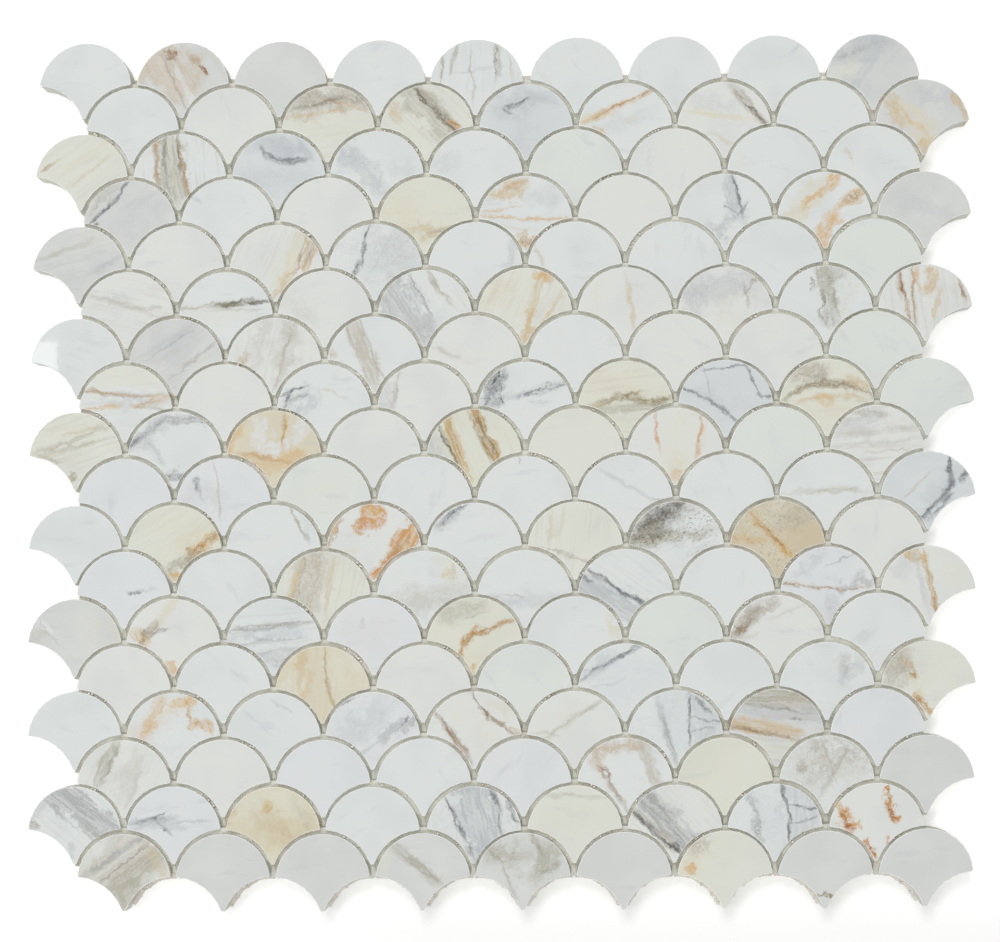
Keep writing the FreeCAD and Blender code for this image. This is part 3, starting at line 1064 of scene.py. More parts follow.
        cloud("olive_grey", 0.6, -4.6, 50, 12, 6, 0.8),
        grain=36, lines=0.8,
    ),
    (18, 2): look("pale_grey"),
    (18, 3): look("pale_grey"),
    (18, 4): look(
        "pale_grey",
        vein("olive_grey", -2.0, 5.0, -37, 21, 2.8, 0.85),
        vein("taupe", -1.0, 4.0, -37, 17, 0.9, 0.6),
        cloud("cream", -12.0, 6.4, 80, 12, 3, 0.7),
    ),
    (18, 5): look(
        "pale_grey",
        cloud("olive_grey", -5.0, 7.6, -12, 14, 6.4, 0.85),
        cloud("olive_grey", 6.4, 5.6, 60, 14, 7, 0.85),
        vein("taupe", 4.0, 12.4, -60, 10, 1.8, 0.75),
        patch("olive", -8.0, 8.0, -40, 7, 1.2, 0.5),
        vein("taupe", -4.0, -1.6, -70, 14, 1.4, 0.6),
        patch("olive", 9.0, 4.0, 30, 9, 2.0, 0.5),
        cloud("white", 0.5, 1.0, 80, 12, 4, 0.6),
        grain=20, crackle=0.1,
    ),
    (18, 6): look("pale_grey"),
    (18, 7): look(
        "cream_white",
        cloud("cream", -4.0, 5.0, 60, 24, 14, 0.7),
        cloud("honey", -11.0, 5.4, 70, 14, 6, 0.75),
        patch("orange", -10.8, 3.4, 45, 3.6, 2.4, 0.9),
        cloud("taupe", -8.0, 11.0, 40, 8, 3, 0.5),
    ),
    (18, 8): look("pale_grey", patch("olive_brown", 0.0, -5.8, 0, 5, 1.6, 0.85)),
    (18, 9): look("pale_grey"),
}
PLAIN_GROUNDS = ("white", "white", "white", "cool_white", "green_white", "warm_white", "lilac_white")


def on_screen(value):
    """Light of one colour channel that looks like this value on a screen."""
    if value <= 0.04045:
        return value / 12.92
    return ((value + 0.055) / 1.055) ** 2.4


def with_alpha(name, alpha=1.0):
    """A named colour as light, with its strength."""
    values = getattr(bpy.context.scene.stone_colours, name)
    return (*(on_screen(value) for value in values), alpha)


def chip_centre(row, column):
    """Centre of a chip's rounded head. Every second row is half a pitch to the right."""
    sizes = bpy.context.scene.mosaic_sizes
    side = 0.25 if row % 2 else -0.25
    x = (column - (COLUMNS - 1) / 2 + side) * sizes.column_pitch
    y = CAD_HIGH.y - sizes.head_radius - row * sizes.row_pitch
    return Vector((x, y, 0))


def settle(mesh):
    """Leans and bows the flexible sheet as it lies in the picture, by up to about 3 mm at a corner.

    Both are smooth curves of the place in the sheet, which goes from -1 to 1 each way. Their
    factors were fitted to how far the chips of the picture lie from an even grid, and rounded.
    """
    share = bpy.context.scene.mosaic_sizes.drift * MM
    for vertex in mesh.vertices:
        x = vertex.co.x / CAD_HIGH.x
        y = vertex.co.y / CAD_HIGH.y
        lean = 0.6 * x + 0.7 * y - 0.3 * x**2 + 0.2 * y**2 - 1.8 * x * y**2 + 0.7 * y**3 - 0.7 * x**3
        bow = 0.3 * x + 0.3 * x**2 - 0.5 * x * y + 0.3 * y**2 - 0.3 * x**2 * y - 0.6 * y**3
        vertex.co.x += share * lean
        vertex.co.y += share * bow


def new_piece(name, bm, *materials):
    """Object at the origin with a new mesh."""
    mesh = bpy.data.meshes.new(name)
    bm.to_mesh(mesh)
    bm.free()
    for material in materials:
        mesh.materials.append(material)
    piece = bpy.data.objects.new(name, mesh)
    bpy.context.scene.collection.objects.link(piece)
    return piece


def add_shape(bm, shape):
    """Adds a small finished shape to a larger mesh."""
    mesh = bpy.data.meshes.new("shape")
    shape.to_mesh(mesh)
    shape.free()
    bm.from_mesh(mesh)
    bpy.data.meshes.remove(mesh)


def add_node(tree, kind, **settings):
    """New node with its settings."""
    node = tree.nodes.new(kind)
    for name, value in settings.items():
        setattr(node, name, value)
    return node


def feed(tree, node, values):
    """Links or sets the inputs of a node, by name or number."""
    for name, value in values.items():
        if isinstance(value, bpy.types.NodeSocket):
            tree.links.new(value, node.inputs[name])
        else:
            node.inputs[name].default_value = value
    return node


def calc(tree, operation, *values):
    """Math node."""
    node = add_node(tree, "ShaderNodeMath", operation=operation)
    return feed(tree, node, dict(enumerate(values))).outputs[0]


def shift_point(tree, operation, *values):
    """Vector math node."""
    node = add_node(tree, "ShaderNodeVectorMath", operation=operation)
    return feed(tree, node, dict(enumerate(values))).outputs[0]


def blend_colour(tree, share, first, second, blend="MIX"):
    """Mix node for colours."""
    node = add_node(tree, "ShaderNodeMix", data_type="RGBA", blend_type=blend)
    return feed(tree, node, {0: share, 6: first, 7: second}).outputs[2]


def ramp(tree, value, low, high):
    """Smooth step of a value from 0 at low to 1 at high."""
    node = add_node(tree, "ShaderNodeMapRange", interpolation_type="SMOOTHSTEP")
    return feed(tree, node, {"Value": value, "From Min": low, "From Max": high}).outputs["Result"]


def stain(tree, base, value, low, high, most, name):
    """Lays a named colour over another as a value goes from low to high, up to a share of it."""
    share = calc(tree, "MULTIPLY", ramp(tree, value, low, high), most)
    return blend_colour(tree, share, base, with_alpha(name))


def noise(tree, place, scale, detail, roughness, flat=False):
    """Noise texture node, of a plane or of space."""
    node = add_node(tree, "ShaderNodeTexNoise", noise_dimensions="2D" if flat else "3D")
    return feed(tree, node, {"Vector": place, "Scale": scale, "Detail": detail, "Roughness": roughness})


def drawn_out(tree, place, stretch, scale, detail, roughness):
    """Noise of a plane, drawn out along one direction."""
    stretched = shift_point(tree, "MULTIPLY", place, stretch)
    return noise(tree, stretched, scale, detail, roughness, flat=True).outputs[0]


def split(tree, vector):
    """Separate the parts of a vector."""
    return feed(tree, add_node(tree, "ShaderNodeSeparateXYZ"), {0: vector}).outputs


def join(tree, x, y, z):
    """Combine three numbers into a vector."""
    return feed(tree, add_node(tree, "ShaderNodeCombineXYZ"), {0: x, 1: y, 2: z}).outputs[0]


def carried(tree, name):
    """Values that the chips carry on their points."""
    return add_node(tree, "ShaderNodeAttribute", attribute_name=name)


def bump(tree, height, distance):
    """Bump node at full strength."""
    values = {"Height": height, "Distance": distance, "Strength": 1.0}
    return feed(tree, add_node(tree, "ShaderNodeBump"), values).outputs[0]


def object_place(tree):
    """Object coordinates, in metres."""
    return add_node(tree, "ShaderNodeTexCoord").outputs["Object"]


def new_material(name):
    """Empty material, its shader and its node tree."""
    material = bpy.data.materials.new(name)
    material.use_nodes = True
    tree = material.node_tree
    return material, tree, tree.nodes["Principled BSDF"]


def streak_names(index):
    """Names under which a chip's points carry one marking: its place, edge, tint and core."""
    name = f"streak_{index + 1}"
    return name, name + "_edge", name + "_tint", name + "_core"


def streak_group():
    """Node group that lays one vein, band, cloud or stain over a colour."""
    tree = bpy.data.node_groups.new("one_streak", "ShaderNodeTree")
    for name, kind in (
        ("Colour", "NodeSocketColor"),
        ("Place", "NodeSocketVector"),
        ("Edge", "NodeSocketVector"),
        ("Tint", "NodeSocketColor"),
        ("Strength", "NodeSocketFloat"),
        ("Core", "NodeSocketColor"),
        ("Core strength", "NodeSocketFloat"),
        ("Ripple", "NodeSocketVector"),
        ("Grit", "NodeSocketFloat"),
        ("Seed", "NodeSocketFloat"),
    ):
        tree.interface.new_socket(name=name, in_out="INPUT", socket_type=kind)
    tree.interface.new_socket(name="Colour", in_out="OUTPUT", socket_type="NodeSocketColor")
    tree.interface.new_socket(name="Amount", in_out="OUTPUT", socket_type="NodeSocketFloat")
    given = add_node(tree, "NodeGroupInput").outputs
    result = add_node(tree, "NodeGroupOutput")
    along, across, bend = split(tree, given["Place"])
    half_width, softness, wobble = split(tree, given["Edge"])
    ripple_x, ripple_y, ripple_z = split(tree, given["Ripple"])
    along = calc(tree, "MULTIPLY_ADD", ripple_y, 0.1, along)
    squared = calc(tree, "MULTIPLY", along, along)
    across = calc(tree, "SUBTRACT", across, calc(tree, "MULTIPLY", bend, squared))
    across = calc(tree, "ADD", across, calc(tree, "MULTIPLY", wobble, ripple_x))
    swell = calc(tree, "MULTIPLY_ADD", ripple_z, 0.4, 1.0)
    width = calc(tree, "MULTIPLY", half_width, calc(tree, "MAXIMUM", swell, 0.25))
    share = calc(tree, "DIVIDE", across, width)
    distance = calc(tree, "MULTIPLY_ADD", share, share, calc(tree, "MULTIPLY", squared, squared))
    distance = calc(tree, "SQRT", distance)
    outer = calc(tree, "ADD", 1.0, softness)
    inner = calc(tree, "SUBTRACT", 1.0, softness)
    fibre_place = join(tree, calc(tree, "MULTIPLY_ADD", along, 1.3, given["Seed"]), across, 0.0)
    fibre = noise(tree, fibre_place, 1.0, 3.0, 0.7, flat=True).outputs[0]
    worn = ramp(tree, calc(tree, "MULTIPLY_ADD", given["Grit"], 0.35, fibre), 0.52, 0.8)
    amount = calc(tree, "MULTIPLY", ramp(tree, distance, outer, inner), given["Strength"])
    amount = calc(tree, "MULTIPLY", amount, calc(tree, "MULTIPLY_ADD", worn, 0.6, 0.4))
    core = calc(tree, "MULTIPLY", ramp(tree, distance, 0.85, 0.15), given["Core strength"])
    core = calc(tree, "MULTIPLY", core, calc(tree, "MULTIPLY_ADD", worn, 0.6, 0.4))
    tint = blend_colour(tree, core, given["Tint"], given["Core"])
    feed(tree, result, {"Colour": blend_colour(tree, amount, given["Colour"], tint), "Amount": amount})
    return tree


def marble_group():
    """Node group of the veined stone: its colour and how much of it is veined."""
    one_streak = streak_group()
    tree = bpy.data.node_groups.new("veined_marble", "ShaderNodeTree")
    for name, kind in (("Colour", "NodeSocketColor"), ("Veined", "NodeSocketFloat")):
        tree.interface.new_socket(name=name, in_out="OUTPUT", socket_type=kind)
    result = add_node(tree, "NodeGroupOutput")
    grain = carried(tree, "grain").outputs["Vector"]
    seed = split(tree, grain)[2]
    fine = split(tree, carried(tree, "fine_marks").outputs["Vector"])
    crystals = noise(tree, grain, 1.3, 2.0, 0.7, flat=True).outputs[0]
    ripples = noise(tree, grain, 0.16, 4.0, 0.7, flat=True).outputs["Color"]
    ripples = shift_point(tree, "MULTIPLY_ADD", ripples, (7.0, 7.0, 7.0), (-3.5, -3.5, -3.5))
    mottle = noise(tree, grain, 0.06, 2.0, 0.5, flat=True).outputs[0]
    base = carried(tree, "ground").outputs["Color"]
    base = stain(tree, base, mottle, 0.4, 0.75, 0.16, "cool_grey")
    base = stain(tree, base, mottle, 0.55, 0.25, 0.3, "warm_white")
    faint = drawn_out(tree, grain, (0.06, 0.2, 1.0), 1.0, 4.0, 0.62)
    faint = calc(tree, "MULTIPLY", ramp(tree, faint, 0.58, 0.8), 0.35)
    base = blend_colour(tree, faint, base, with_alpha("cool_grey"))
    veined = faint
    for index in range(STREAKS):
        place, edge, tint, core = [carried(tree, name).outputs for name in streak_names(index)]
        node = add_node(tree, "ShaderNodeGroup", node_tree=one_streak)
        flip = (1.0, 1.0, 1.0) if index % 2 else (-1.0, 1.0, -1.0)
        feed(
            tree,
            node,
            {
                "Colour": base,
                "Place": place["Vector"],
                "Edge": edge["Vector"],
                "Tint": tint["Color"],
                "Strength": tint["Alpha"],
                "Core": core["Color"],
                "Core strength": core["Alpha"],
                "Ripple": shift_point(tree, "MULTIPLY", ripples, flip),
                "Grit": crystals,
                "Seed": calc(tree, "MULTIPLY_ADD", seed, 0.37, index * 5.3),
            },
        )
        base = node.outputs["Colour"]
        veined = calc(tree, "MAXIMUM", veined, node.outputs["Amount"])
    cracks = add_node(tree, "ShaderNodeTexVoronoi", feature="DISTANCE_TO_EDGE", voronoi_dimensions="2D")
    bent = shift_point(tree, "MULTIPLY_ADD", ripples, (1.6, 1.6, 1.6), grain)
    feed(tree, cracks, {"Vector": bent, "Scale": 0.3})
    crack = calc(tree, "MULTIPLY", ramp(tree, cracks.outputs["Distance"], 0.16, 0.0), fine[0])
    crack = calc(tree, "MULTIPLY", crack, ramp(tree, mottle, 0.3, 0.6))
    base = blend_colour(tree, calc(tree, "MULTIPLY", crack, 0.5), base, with_alpha("taupe"))
    grains = drawn_out(tree, grain, (0.8, 1.5, 1.0), 1.1, 2.0, 0.7)
    speck = calc(tree, "MULTIPLY", ramp(tree, grains, 0.56, 0.64), calc(tree, "MULTIPLY", fine[1], veined))
    base = blend_colour(tree, calc(tree, "MULTIPLY", speck, 0.85), base, with_alpha("dark_olive"))
    lines = drawn_out(tree, grain, (0.05, 0.75, 1.0), 1.0, 3.0, 0.65)
    lines = calc(tree, "MULTIPLY", ramp(tree, lines, 0.48, 0.68), calc(tree, "MULTIPLY", fine[2], 0.35))
    base = blend_colour(tree, lines, base, with_alpha("warm_taupe"))
    base = stain(tree, base, crystals, 0.5, 0.8, 0.12, "white")
    feed(tree, result, {"Colour": base, "Veined": veined})
    return tree


def polished_marble(group):
    """The polished face: glossy, a little duller along its veins."""
    material, tree, shader = new_material("polished_marble")
    stone = add_node(tree, "ShaderNodeGroup", node_tree=group).outputs
    grain = carried(tree, "grain").outputs["Vector"]
    sheen = noise(tree, grain, 0.5, 2.0, 0.6, flat=True).outputs[0]
    gloss = calc(tree, "MULTIPLY_ADD", sheen, 0.025, 0.006)
    gloss = calc(tree, "MULTIPLY_ADD", stone["Veined"], 0.08, gloss)
    feed(
        tree,
        shader,
        {
            "Base Color": stone["Colour"],
            "Roughness": gloss,
            "IOR": 1.5,
            "Normal": bump(tree, sheen, 0.001 * MM),
        },
    )
    return material


def eased_arris(group):
    """The narrow eased edge: the same stone, dull, with small chips, and mixed towards white, partly as
    the chalky look of a ground edge and partly as a painted highlight along it.
    """
    material, tree, shader = new_material("eased_arris")
    stone = add_node(tree, "ShaderNodeGroup", node_tree=group).outputs
    nicks = noise(tree, carried(tree, "grain").outputs["Vector"], 0.9, 3.0, 0.7).outputs[0]
    # Mixed towards white, more where nicked: partly the chalky ground stone, partly a painted highlight
    # along the edge
    chalk_and_highlight = calc(tree, "MULTIPLY_ADD", ramp(tree, nicks, 0.35, 0.65), 0.4, 0.3)
    feed(
        tree,
        shader,
        {
            "Base Color": blend_colour(tree, chalk_and_highlight, stone["Colour"], with_alpha("floor")),
            "Roughness": calc(tree, "MULTIPLY_ADD", nicks, 0.3, 0.3),
            "Normal": bump(tree, nicks, 0.12 * MM),
        },
    )
    return material


def sawn_marble(group):
    """The sawn sides and the underside: dull, a little warmer, with saw lines."""
    material, tree, shader = new_material("sawn_marble")
    stone = add_node(tree, "ShaderNodeGroup", node_tree=group).outputs
    grain = carried(tree, "grain").outputs["Vector"]
    saw_place = shift_point(tree, "MULTIPLY", object_place(tree), (120.0, 120.0, 2600.0))
    saw = noise(tree, saw_place, 1.0, 3.0, 0.6).outputs[0]
    dust = noise(tree, grain, 0.35, 4.0, 0.65).outputs[0]
    warm = blend_colour(tree, 1.0, stone["Colour"], with_alpha("sawn_tint"), "MULTIPLY")
    warm = stain(tree, warm, dust, 0.4, 0.7, 0.5, "cream_white")
    warm = stain(tree, warm, saw, 0.5, 0.75, 0.2, "warm_taupe")
    feed(
        tree,
        shader,
        {
            "Base Color": warm,
            "Roughness": calc(tree, "MULTIPLY_ADD", dust, 0.3, 0.5),
            "Normal": bump(tree, saw, 0.08 * MM),
        },
    )
    return material


def glue_material(name, tint, gloss):
    """Cured adhesive, cloudy and uneven."""
    material, tree, shader = new_material(name)
    place = object_place(tree)
    lumps = noise(tree, place, 420.0, 4.0, 0.6).outputs[0]
    dirt = noise(tree, place, 160.0, 3.0, 0.6).outputs[0]
    base = stain(tree, with_alpha(tint), dirt, 0.4, 0.7, 0.45, "warm_taupe")
    base = stain(tree, base, lumps, 0.55, 0.7, 0.5, "film")
    feed(
        tree,
        shader,
        {
            "Base Color": base,
            "Roughness": calc(tree, "MULTIPLY_ADD", lumps, 0.3, gloss),
            "IOR": 1.47,
            "Normal": bump(tree, lumps, 0.25 * MM),
        },
    )
    return material


def strand_material(name, stretch):
    """Fibreglass strand: fine filaments along it, bound with milky size."""
    material, tree, shader = new_material(name)
    place = object_place(tree)
    filaments = noise(tree, shift_point(tree, "MULTIPLY", place, stretch), 1.0, 3.0, 0.6).outputs[0]
    stains = noise(tree, place, 90.0, 3.0, 0.6).outputs[0]
    base = blend_colour(tree, ramp(tree, filaments, 0.35, 0.7), with_alpha("film"), with_alpha("strand"))
    base = stain(tree, base, stains, 0.5, 0.75, 0.12, "tan")
    feed(
        tree,
        shader,
        {
            "Base Color": base,
            "Roughness": calc(tree, "MULTIPLY_ADD", filaments, 0.25, 0.35),
            "Normal": bump(tree, filaments, 0.06 * MM),
        },
    )
    return material


def sweep(bm, start, centre, angle, steps):
    """A point swept round a centre, leaving an arc of edges. Gives the first and last point."""
    first = bm.verts.new(start)
    swept = bmesh.ops.spin(
        bm, geom=[first], cent=centre, axis=(0, 0, 1), angle=angle, steps=steps, use_merge=False
    )
    last = next(part for part in swept["geom_last"] if isinstance(part, bmesh.types.BMVert))
    return first, last


def on_circle(centre, radius, angle):
    """Point of a circle, level with its centre."""
    return Vector(centre) + Vector((radius * math.cos(angle), radius * math.sin(angle), 0))


def corner(side, other, opposite):
    """Angle between two sides of a triangle."""
    return math.acos((side**2 + other**2 - opposite**2) / (2 * side * other))


def chip_template():
    """One chip about the centre of its head, its top face at height nought."""
    sizes = bpy.context.scene.mosaic_sizes
    head = sizes.head_radius
    flank = head + sizes.joint
    half = sizes.column_pitch / 2
    drop = sizes.row_pitch
    apart = math.hypot(half, drop)
    slope = math.atan2(drop, half)
    at_head = corner(head, apart, flank) - slope
    at_flank = math.pi - slope - corner(flank, apart, head)
    head_end = at_head + sizes.shoulder_cut / head
    flank_end = at_flank + sizes.shoulder_cut / flank
    tip = math.pi - math.acos((half - sizes.tip_width / 2) / flank)
    right = Vector((half, -drop, 0))
    left = Vector((-half, -drop, 0))
    thickness = CHIP_HIGH.z - CHIP_LOW.z
    bm = bmesh.new()
    middle = Vector((0, 0, 0))
    head_start = on_circle(middle, head, head_end)
    left_start = on_circle(left, flank, math.pi - flank_end)
    right_start = on_circle(right, flank, tip)
    head_first, head_last = sweep(bm, head_start, middle, math.pi - 2 * head_end, HEAD_STEPS)
    left_first, left_last = sweep(bm, left_start, left, flank_end - tip, FLANK_STEPS)
    right_first, right_last = sweep(bm, right_start, right, flank_end - tip, FLANK_STEPS)
    bm.edges.new((head_last, left_first))
    bm.edges.new((left_last, right_first))
    bm.edges.new((right_last, head_first))
    bmesh.ops.contextual_create(bm, geom=bm.edges[:])
    pulled = bmesh.ops.extrude_face_region(bm, geom=bm.faces[:])
    lowered = [part for part in pulled["geom"] if isinstance(part, bmesh.types.BMVert)]
    bmesh.ops.translate(bm, vec=(0, 0, -thickness), verts=lowered)
    rim = [edge for edge in bm.edges if all(vertex.co.z > -1e-6 for vertex in edge.verts)]
    bmesh.ops.bevel(
        bm,
        geom=rim,
        offset=sizes.arris,
        offset_type="OFFSET",
        segments=ARRIS_STEPS,
        profile=0.5,
        affect="EDGES",
        material=-1,
    )
    bmesh.ops.recalc_face_normals(bm, faces=bm.faces[:])
    bm.normal_update()
    level = 0.98
    leaning = 0.1
    for face in bm.faces:
        upright = face.normal.z
        face.smooth = abs(upright) < level
        if upright > level:
            face.material_index = 0
        elif upright > leaning:
            face.material_index = 1
        else:
            face.material_index = 2
    for edge in bm.edges:
        edge.smooth = edge.calc_face_angle(math.pi) < math.radians(50)
    if any(not edge.is_manifold for edge in bm.edges):
        raise RuntimeError("the chip is not closed")
    mesh = bpy.data.meshes.new("chip_template")
    bm.to_mesh(mesh)
    bm.free()
    return mesh


def carry(layers, vertex, local, chosen, seed):
    """Writes on one point what the stone there needs to know about the chip's markings."""
    turn = math.radians(chosen.grain)
    along = local.x * math.cos(turn) + local.y * math.sin(turn)
    across = local.y * math.cos(turn) - local.x * math.sin(turn)
    vertex[layers["grain"]] = Vector((along + seed[0], across + seed[1], local.z + seed[2]))
    vertex[layers["ground"]] = with_alpha(chosen.ground)
    vertex[layers["fine_marks"]] = Vector((chosen.crackle, chosen.specks, chosen.lines))
    for index, mark in enumerate(chosen.streaks):
        place, edge, tint, core = [layers[name] for name in streak_names(index)]
        turn = math.radians(mark.turn)
        x = local.x - mark.x
        y = local.y - mark.y
        along = (x * math.cos(turn) + y * math.sin(turn)) / (mark.length / 2)
        across = y * math.cos(turn) - x * math.sin(turn)
        vertex[place] = Vector((along, across, mark.bend))
        vertex[edge] = Vector((mark.width / 2, mark.softness, mark.wobble))
        vertex[tint] = with_alpha(mark.tint, mark.strength)
        vertex[core] = with_alpha(mark.core or mark.tint, 0.9 if mark.core else 0.0)


def stone_layers(bm):
    """Room on the points for the grain, the ground, the fine marks and each marking."""
    vectors = bm.verts.layers.float_vector
    colours = bm.verts.layers.float_color
    layers = {
        "grain": vectors.new("grain"),
        "ground": colours.new("ground"),
        "fine_marks": vectors.new("fine_marks"),
    }
    for index in range(STREAKS):
        for name, kind in zip(streak_names(index), (vectors, vectors, colours, colours)):
            layers[name] = kind.new(name)
    return layers


def chip_row(row, template, materials):
    """One row of chips as one piece, each chip laid one by one."""
    sizes = bpy.context.scene.mosaic_sizes
    chance = random.Random(400 + row)
    bm = bmesh.new()
    layers = stone_layers(bm)
    for column in range(COLUMNS):
        first = len(bm.verts)
        bm.from_mesh(template)
        bm.verts.ensure_lookup_table()
        new = bm.verts[first:]
        plain = look(chance.choice(PLAIN_GROUNDS), grain=chance.uniform(0, 180))
        chosen = LOOKS.get((row + 1, column + 1), plain)
        if len(chosen.streaks) > STREAKS:
            raise RuntimeError(f"chip {row + 1}, {column + 1} has too many markings")
        seed = [chance.uniform(-900, 900) for _ in range(3)]
        for vertex in new:
            carry(layers, vertex, vertex.co / MM, chosen, seed)
        lean = [math.radians(chance.gauss(0, sizes.tilt)) for _ in range(2)]
        turn = math.radians(chance.gauss(0, sizes.turn))
        off = [max(-2, min(2, chance.gauss(0, 1))) * sizes.shift for _ in range(2)]
        if (row, column) == GLINT_CHIP:
            lean = [0.0, math.radians(GLINT_LEAN)]
        sink = sizes.sink * chance.random() + sizes.head_radius * math.sin(abs(lean[0]) + abs(lean[1]))
        top = CHIP_HIGH.z - min(sink, DEEPEST_SINK)
        place = chip_centre(row, column) + Vector((off[0], off[1], top))
        laid = Matrix.Translation(place) @ Euler((lean[0], lean[1], turn)).to_matrix().to_4x4()
        bmesh.ops.transform(bm, matrix=laid, verts=new)
    piece = new_piece(f"marble_chips_row_{row + 1:02d}", bm, *materials)
    settle(piece.data)
    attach(piece, "root")
    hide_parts(f"chip_row_{row + 1:02d}")
    return piece


def inside_runs(tree, start, direction, reach):
    """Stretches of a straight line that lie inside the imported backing."""
    hits = []
    travelled = 0.0
    while travelled < reach:
        found = tree.ray_cast(start + direction * travelled, direction, reach - travelled)
        if found[0] is None:
            break
        travelled += found[3]
        if not hits or travelled - hits[-1] > 1e-6:
            hits.append(travelled)
        travelled += 1e-5
    return list(zip(hits[::2], hits[1::2]))


def backing_tree():
    """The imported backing, ready for rays to be cast at it."""
    bm = bmesh.new()
    bm.from_mesh(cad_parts["backing_mesh"].data)
    tree = BVHTree.FromBMesh(bm)
    bm.free()
    return tree


def strand_shape(start, begin, end, line, along_x):
    """One strand from one place to another on its line, over and under the strands that cross it."""
    sizes = bpy.context.scene.mosaic_sizes
    pitch = sizes.strand_pitch
    direction = Vector((1, 0, 0)) if along_x else Vector((0, 1, 0))
    steps = max(1, round((end - begin) / pitch))
    strand = bmesh.new()
    ring = bmesh.ops.create_circle(strand, segments=6, radius=0.5)
    turn = Matrix.Rotation(math.pi / 2, 4, "Y" if along_x else "X")
    width_x, width_y = (1, sizes.strand_width) if along_x else (sizes.strand_width, 1)
    flat = Matrix.Diagonal((width_x, width_y, sizes.strand_height, 1))
    place = Matrix.Translation(start + direction * begin)
    bmesh.ops.transform(strand, matrix=place @ flat @ turn, verts=ring["verts"])
    step = direction * ((end - begin) / steps)
    bmesh.ops.spin(
        strand, geom=strand.edges[:], cent=(0, 0, 0), axis=(0, 0, 1), dvec=step, angle=0.0, steps=steps
    )
    for vertex in strand.verts:
        crossing = round((vertex.co - start).dot(direction) / pitch)
        vertex.co.z += WEAVE if (crossing + line + along_x) % 2 else -WEAVE
    ends = [edge for edge in strand.edges if edge.is_boundary]
    bmesh.ops.holes_fill(strand, edges=ends, sides=6)
    bmesh.ops.recalc_face_normals(strand, faces=strand.faces[:])
    for face in strand.faces:
        face.smooth = True
    return strand


def strand_set(name, along_x, material):
    """All strands of the mesh that run one way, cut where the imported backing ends."""
    tree = backing_tree()
    pitch = bpy.context.scene.mosaic_sizes.strand_pitch
    height = (MESH_LOW.z + MESH_HIGH.z) / 2 + 0.03 * MM
    direction = Vector((1, 0, 0)) if along_x else Vector((0, 1, 0))
    side = Vector((0, 1, 0)) if along_x else Vector((1, 0, 0))
    span = CAD_HIGH.y if along_x else CAD_HIGH.x
    reach = 2 * max(CAD_HIGH.x, CAD_HIGH.y) + 20 * MM
    chance = random.Random(31 if along_x else 32)
    bm = bmesh.new()
    count = int(span / pitch)
    for line in range(-count, count + 1):
        across = side * (line * pitch + chance.uniform(-0.1, 0.1) * pitch)
        start = across - direction * reach / 2 + Vector((0, 0, height))
        for begin, end in inside_runs(tree, start, direction, reach):
            if end - begin >= pitch:
                add_shape(bm, strand_shape(start, begin, end, line, along_x))
    piece = new_piece(name, bm, material)
    settle(piece.data)
    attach(piece, "root")
    return piece


def glue_film(material):
    """The thin cured film that holds the mesh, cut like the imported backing."""
    bm = bmesh.new()
    bm.from_mesh(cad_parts["backing_mesh"].data)
    bmesh.ops.remove_doubles(bm, verts=bm.verts[:], dist=1e-6)
    for vertex in bm.verts:
        low = vertex.co.z < (MESH_LOW.z + MESH_HIGH.z) / 2
        vertex.co.z = MESH_LOW.z + (FILM_BOTTOM if low else FILM_TOP)
    piece = new_piece("glue_film", bm, material)
    settle(piece.data)
    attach(piece, "root")
    return piece


def band_ends(row, column):
    """Angles round a head where its band of glue starts and ends, from the right side.

    Inside the sheet it meets its neighbours. At the edges it stops where the chips above it end.
    """
    moved_right = row % 2 == 1
    start = 3
    end = 177
    if column == COLUMNS - 1:
        start = 94 if moved_right else 16
    if column == 0:
        end = 164 if moved_right else 86
    return math.radians(start), math.radians(end)


def joint_glue(material):
    """Adhesive squeezed up between the chips, one band round each head that others rest against."""
    sizes = bpy.context.scene.mosaic_sizes
    chance = random.Random(77)
    inner = sizes.head_radius - GLUE_GRIP_HEAD
    outer = sizes.head_radius + sizes.joint + GLUE_GRIP_FLANK
    low = CHIP_LOW.z - 0.1 * MM
    high = CHIP_LOW.z + sizes.glue_depth
    longest_step = 0.24
    bm = bmesh.new()
    for row in range(1, ROWS):
        for column in range(COLUMNS):
            start, end = band_ends(row, column)
            centre = chip_centre(row, column)
            shape = bmesh.new()
            corners = [
                shape.verts.new(on_circle(centre, radius, start) + Vector((0, 0, height)))
                for radius, height in ((inner, low), (outer, low), (outer, high), (inner, high))
            ]
            cap = shape.faces.new(corners)
            bmesh.ops.spin(
                shape,
                geom=[cap],
                cent=centre,
                axis=(0, 0, 1),
                angle=end - start,
                steps=max(4, round((end - start) / longest_step)),
                use_merge=False,
            )
            for vertex in shape.verts:
                if vertex.co.z > low + 0.5 * MM:
                    vertex.co.z += chance.uniform(-1, 1) * GLUE_UNEVEN
                    if vertex.co.y < centre.y + SAG_REACH:
                        vertex.co.z -= SAG_DEPTH
            bmesh.ops.recalc_face_normals(shape, faces=shape.faces[:])
            add_shape(bm, shape)
    piece = new_piece("joint_glue", bm, material)
    settle(piece.data)
    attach(piece, "root")
    return piece


def glue_bead(chance, centre, angle):
    """One clear bead in the joint beside a head."""
    sizes = bpy.context.scene.mosaic_sizes
    radius = sizes.head_radius + sizes.joint * chance.uniform(0.2, 0.8)
    size = sizes.bead * chance.uniform(0.45, 1.1)
    height = CHIP_HIGH.z - chance.uniform(1.0, 2.0) * MM
    place = Matrix.Translation(on_circle(centre, radius, angle) + Vector((0, 0, height)))
    turn = Euler([chance.uniform(0, 6) for _ in range(3)]).to_matrix().to_4x4()
    squash = Matrix.Diagonal((size, size * chance.uniform(0.6, 1.0), size, 1))
    bead = bmesh.new()
    bmesh.ops.create_icosphere(bead, subdivisions=1, radius=0.5, matrix=place @ turn @ squash)
    for face in bead.faces:
        face.smooth = True
    return bead


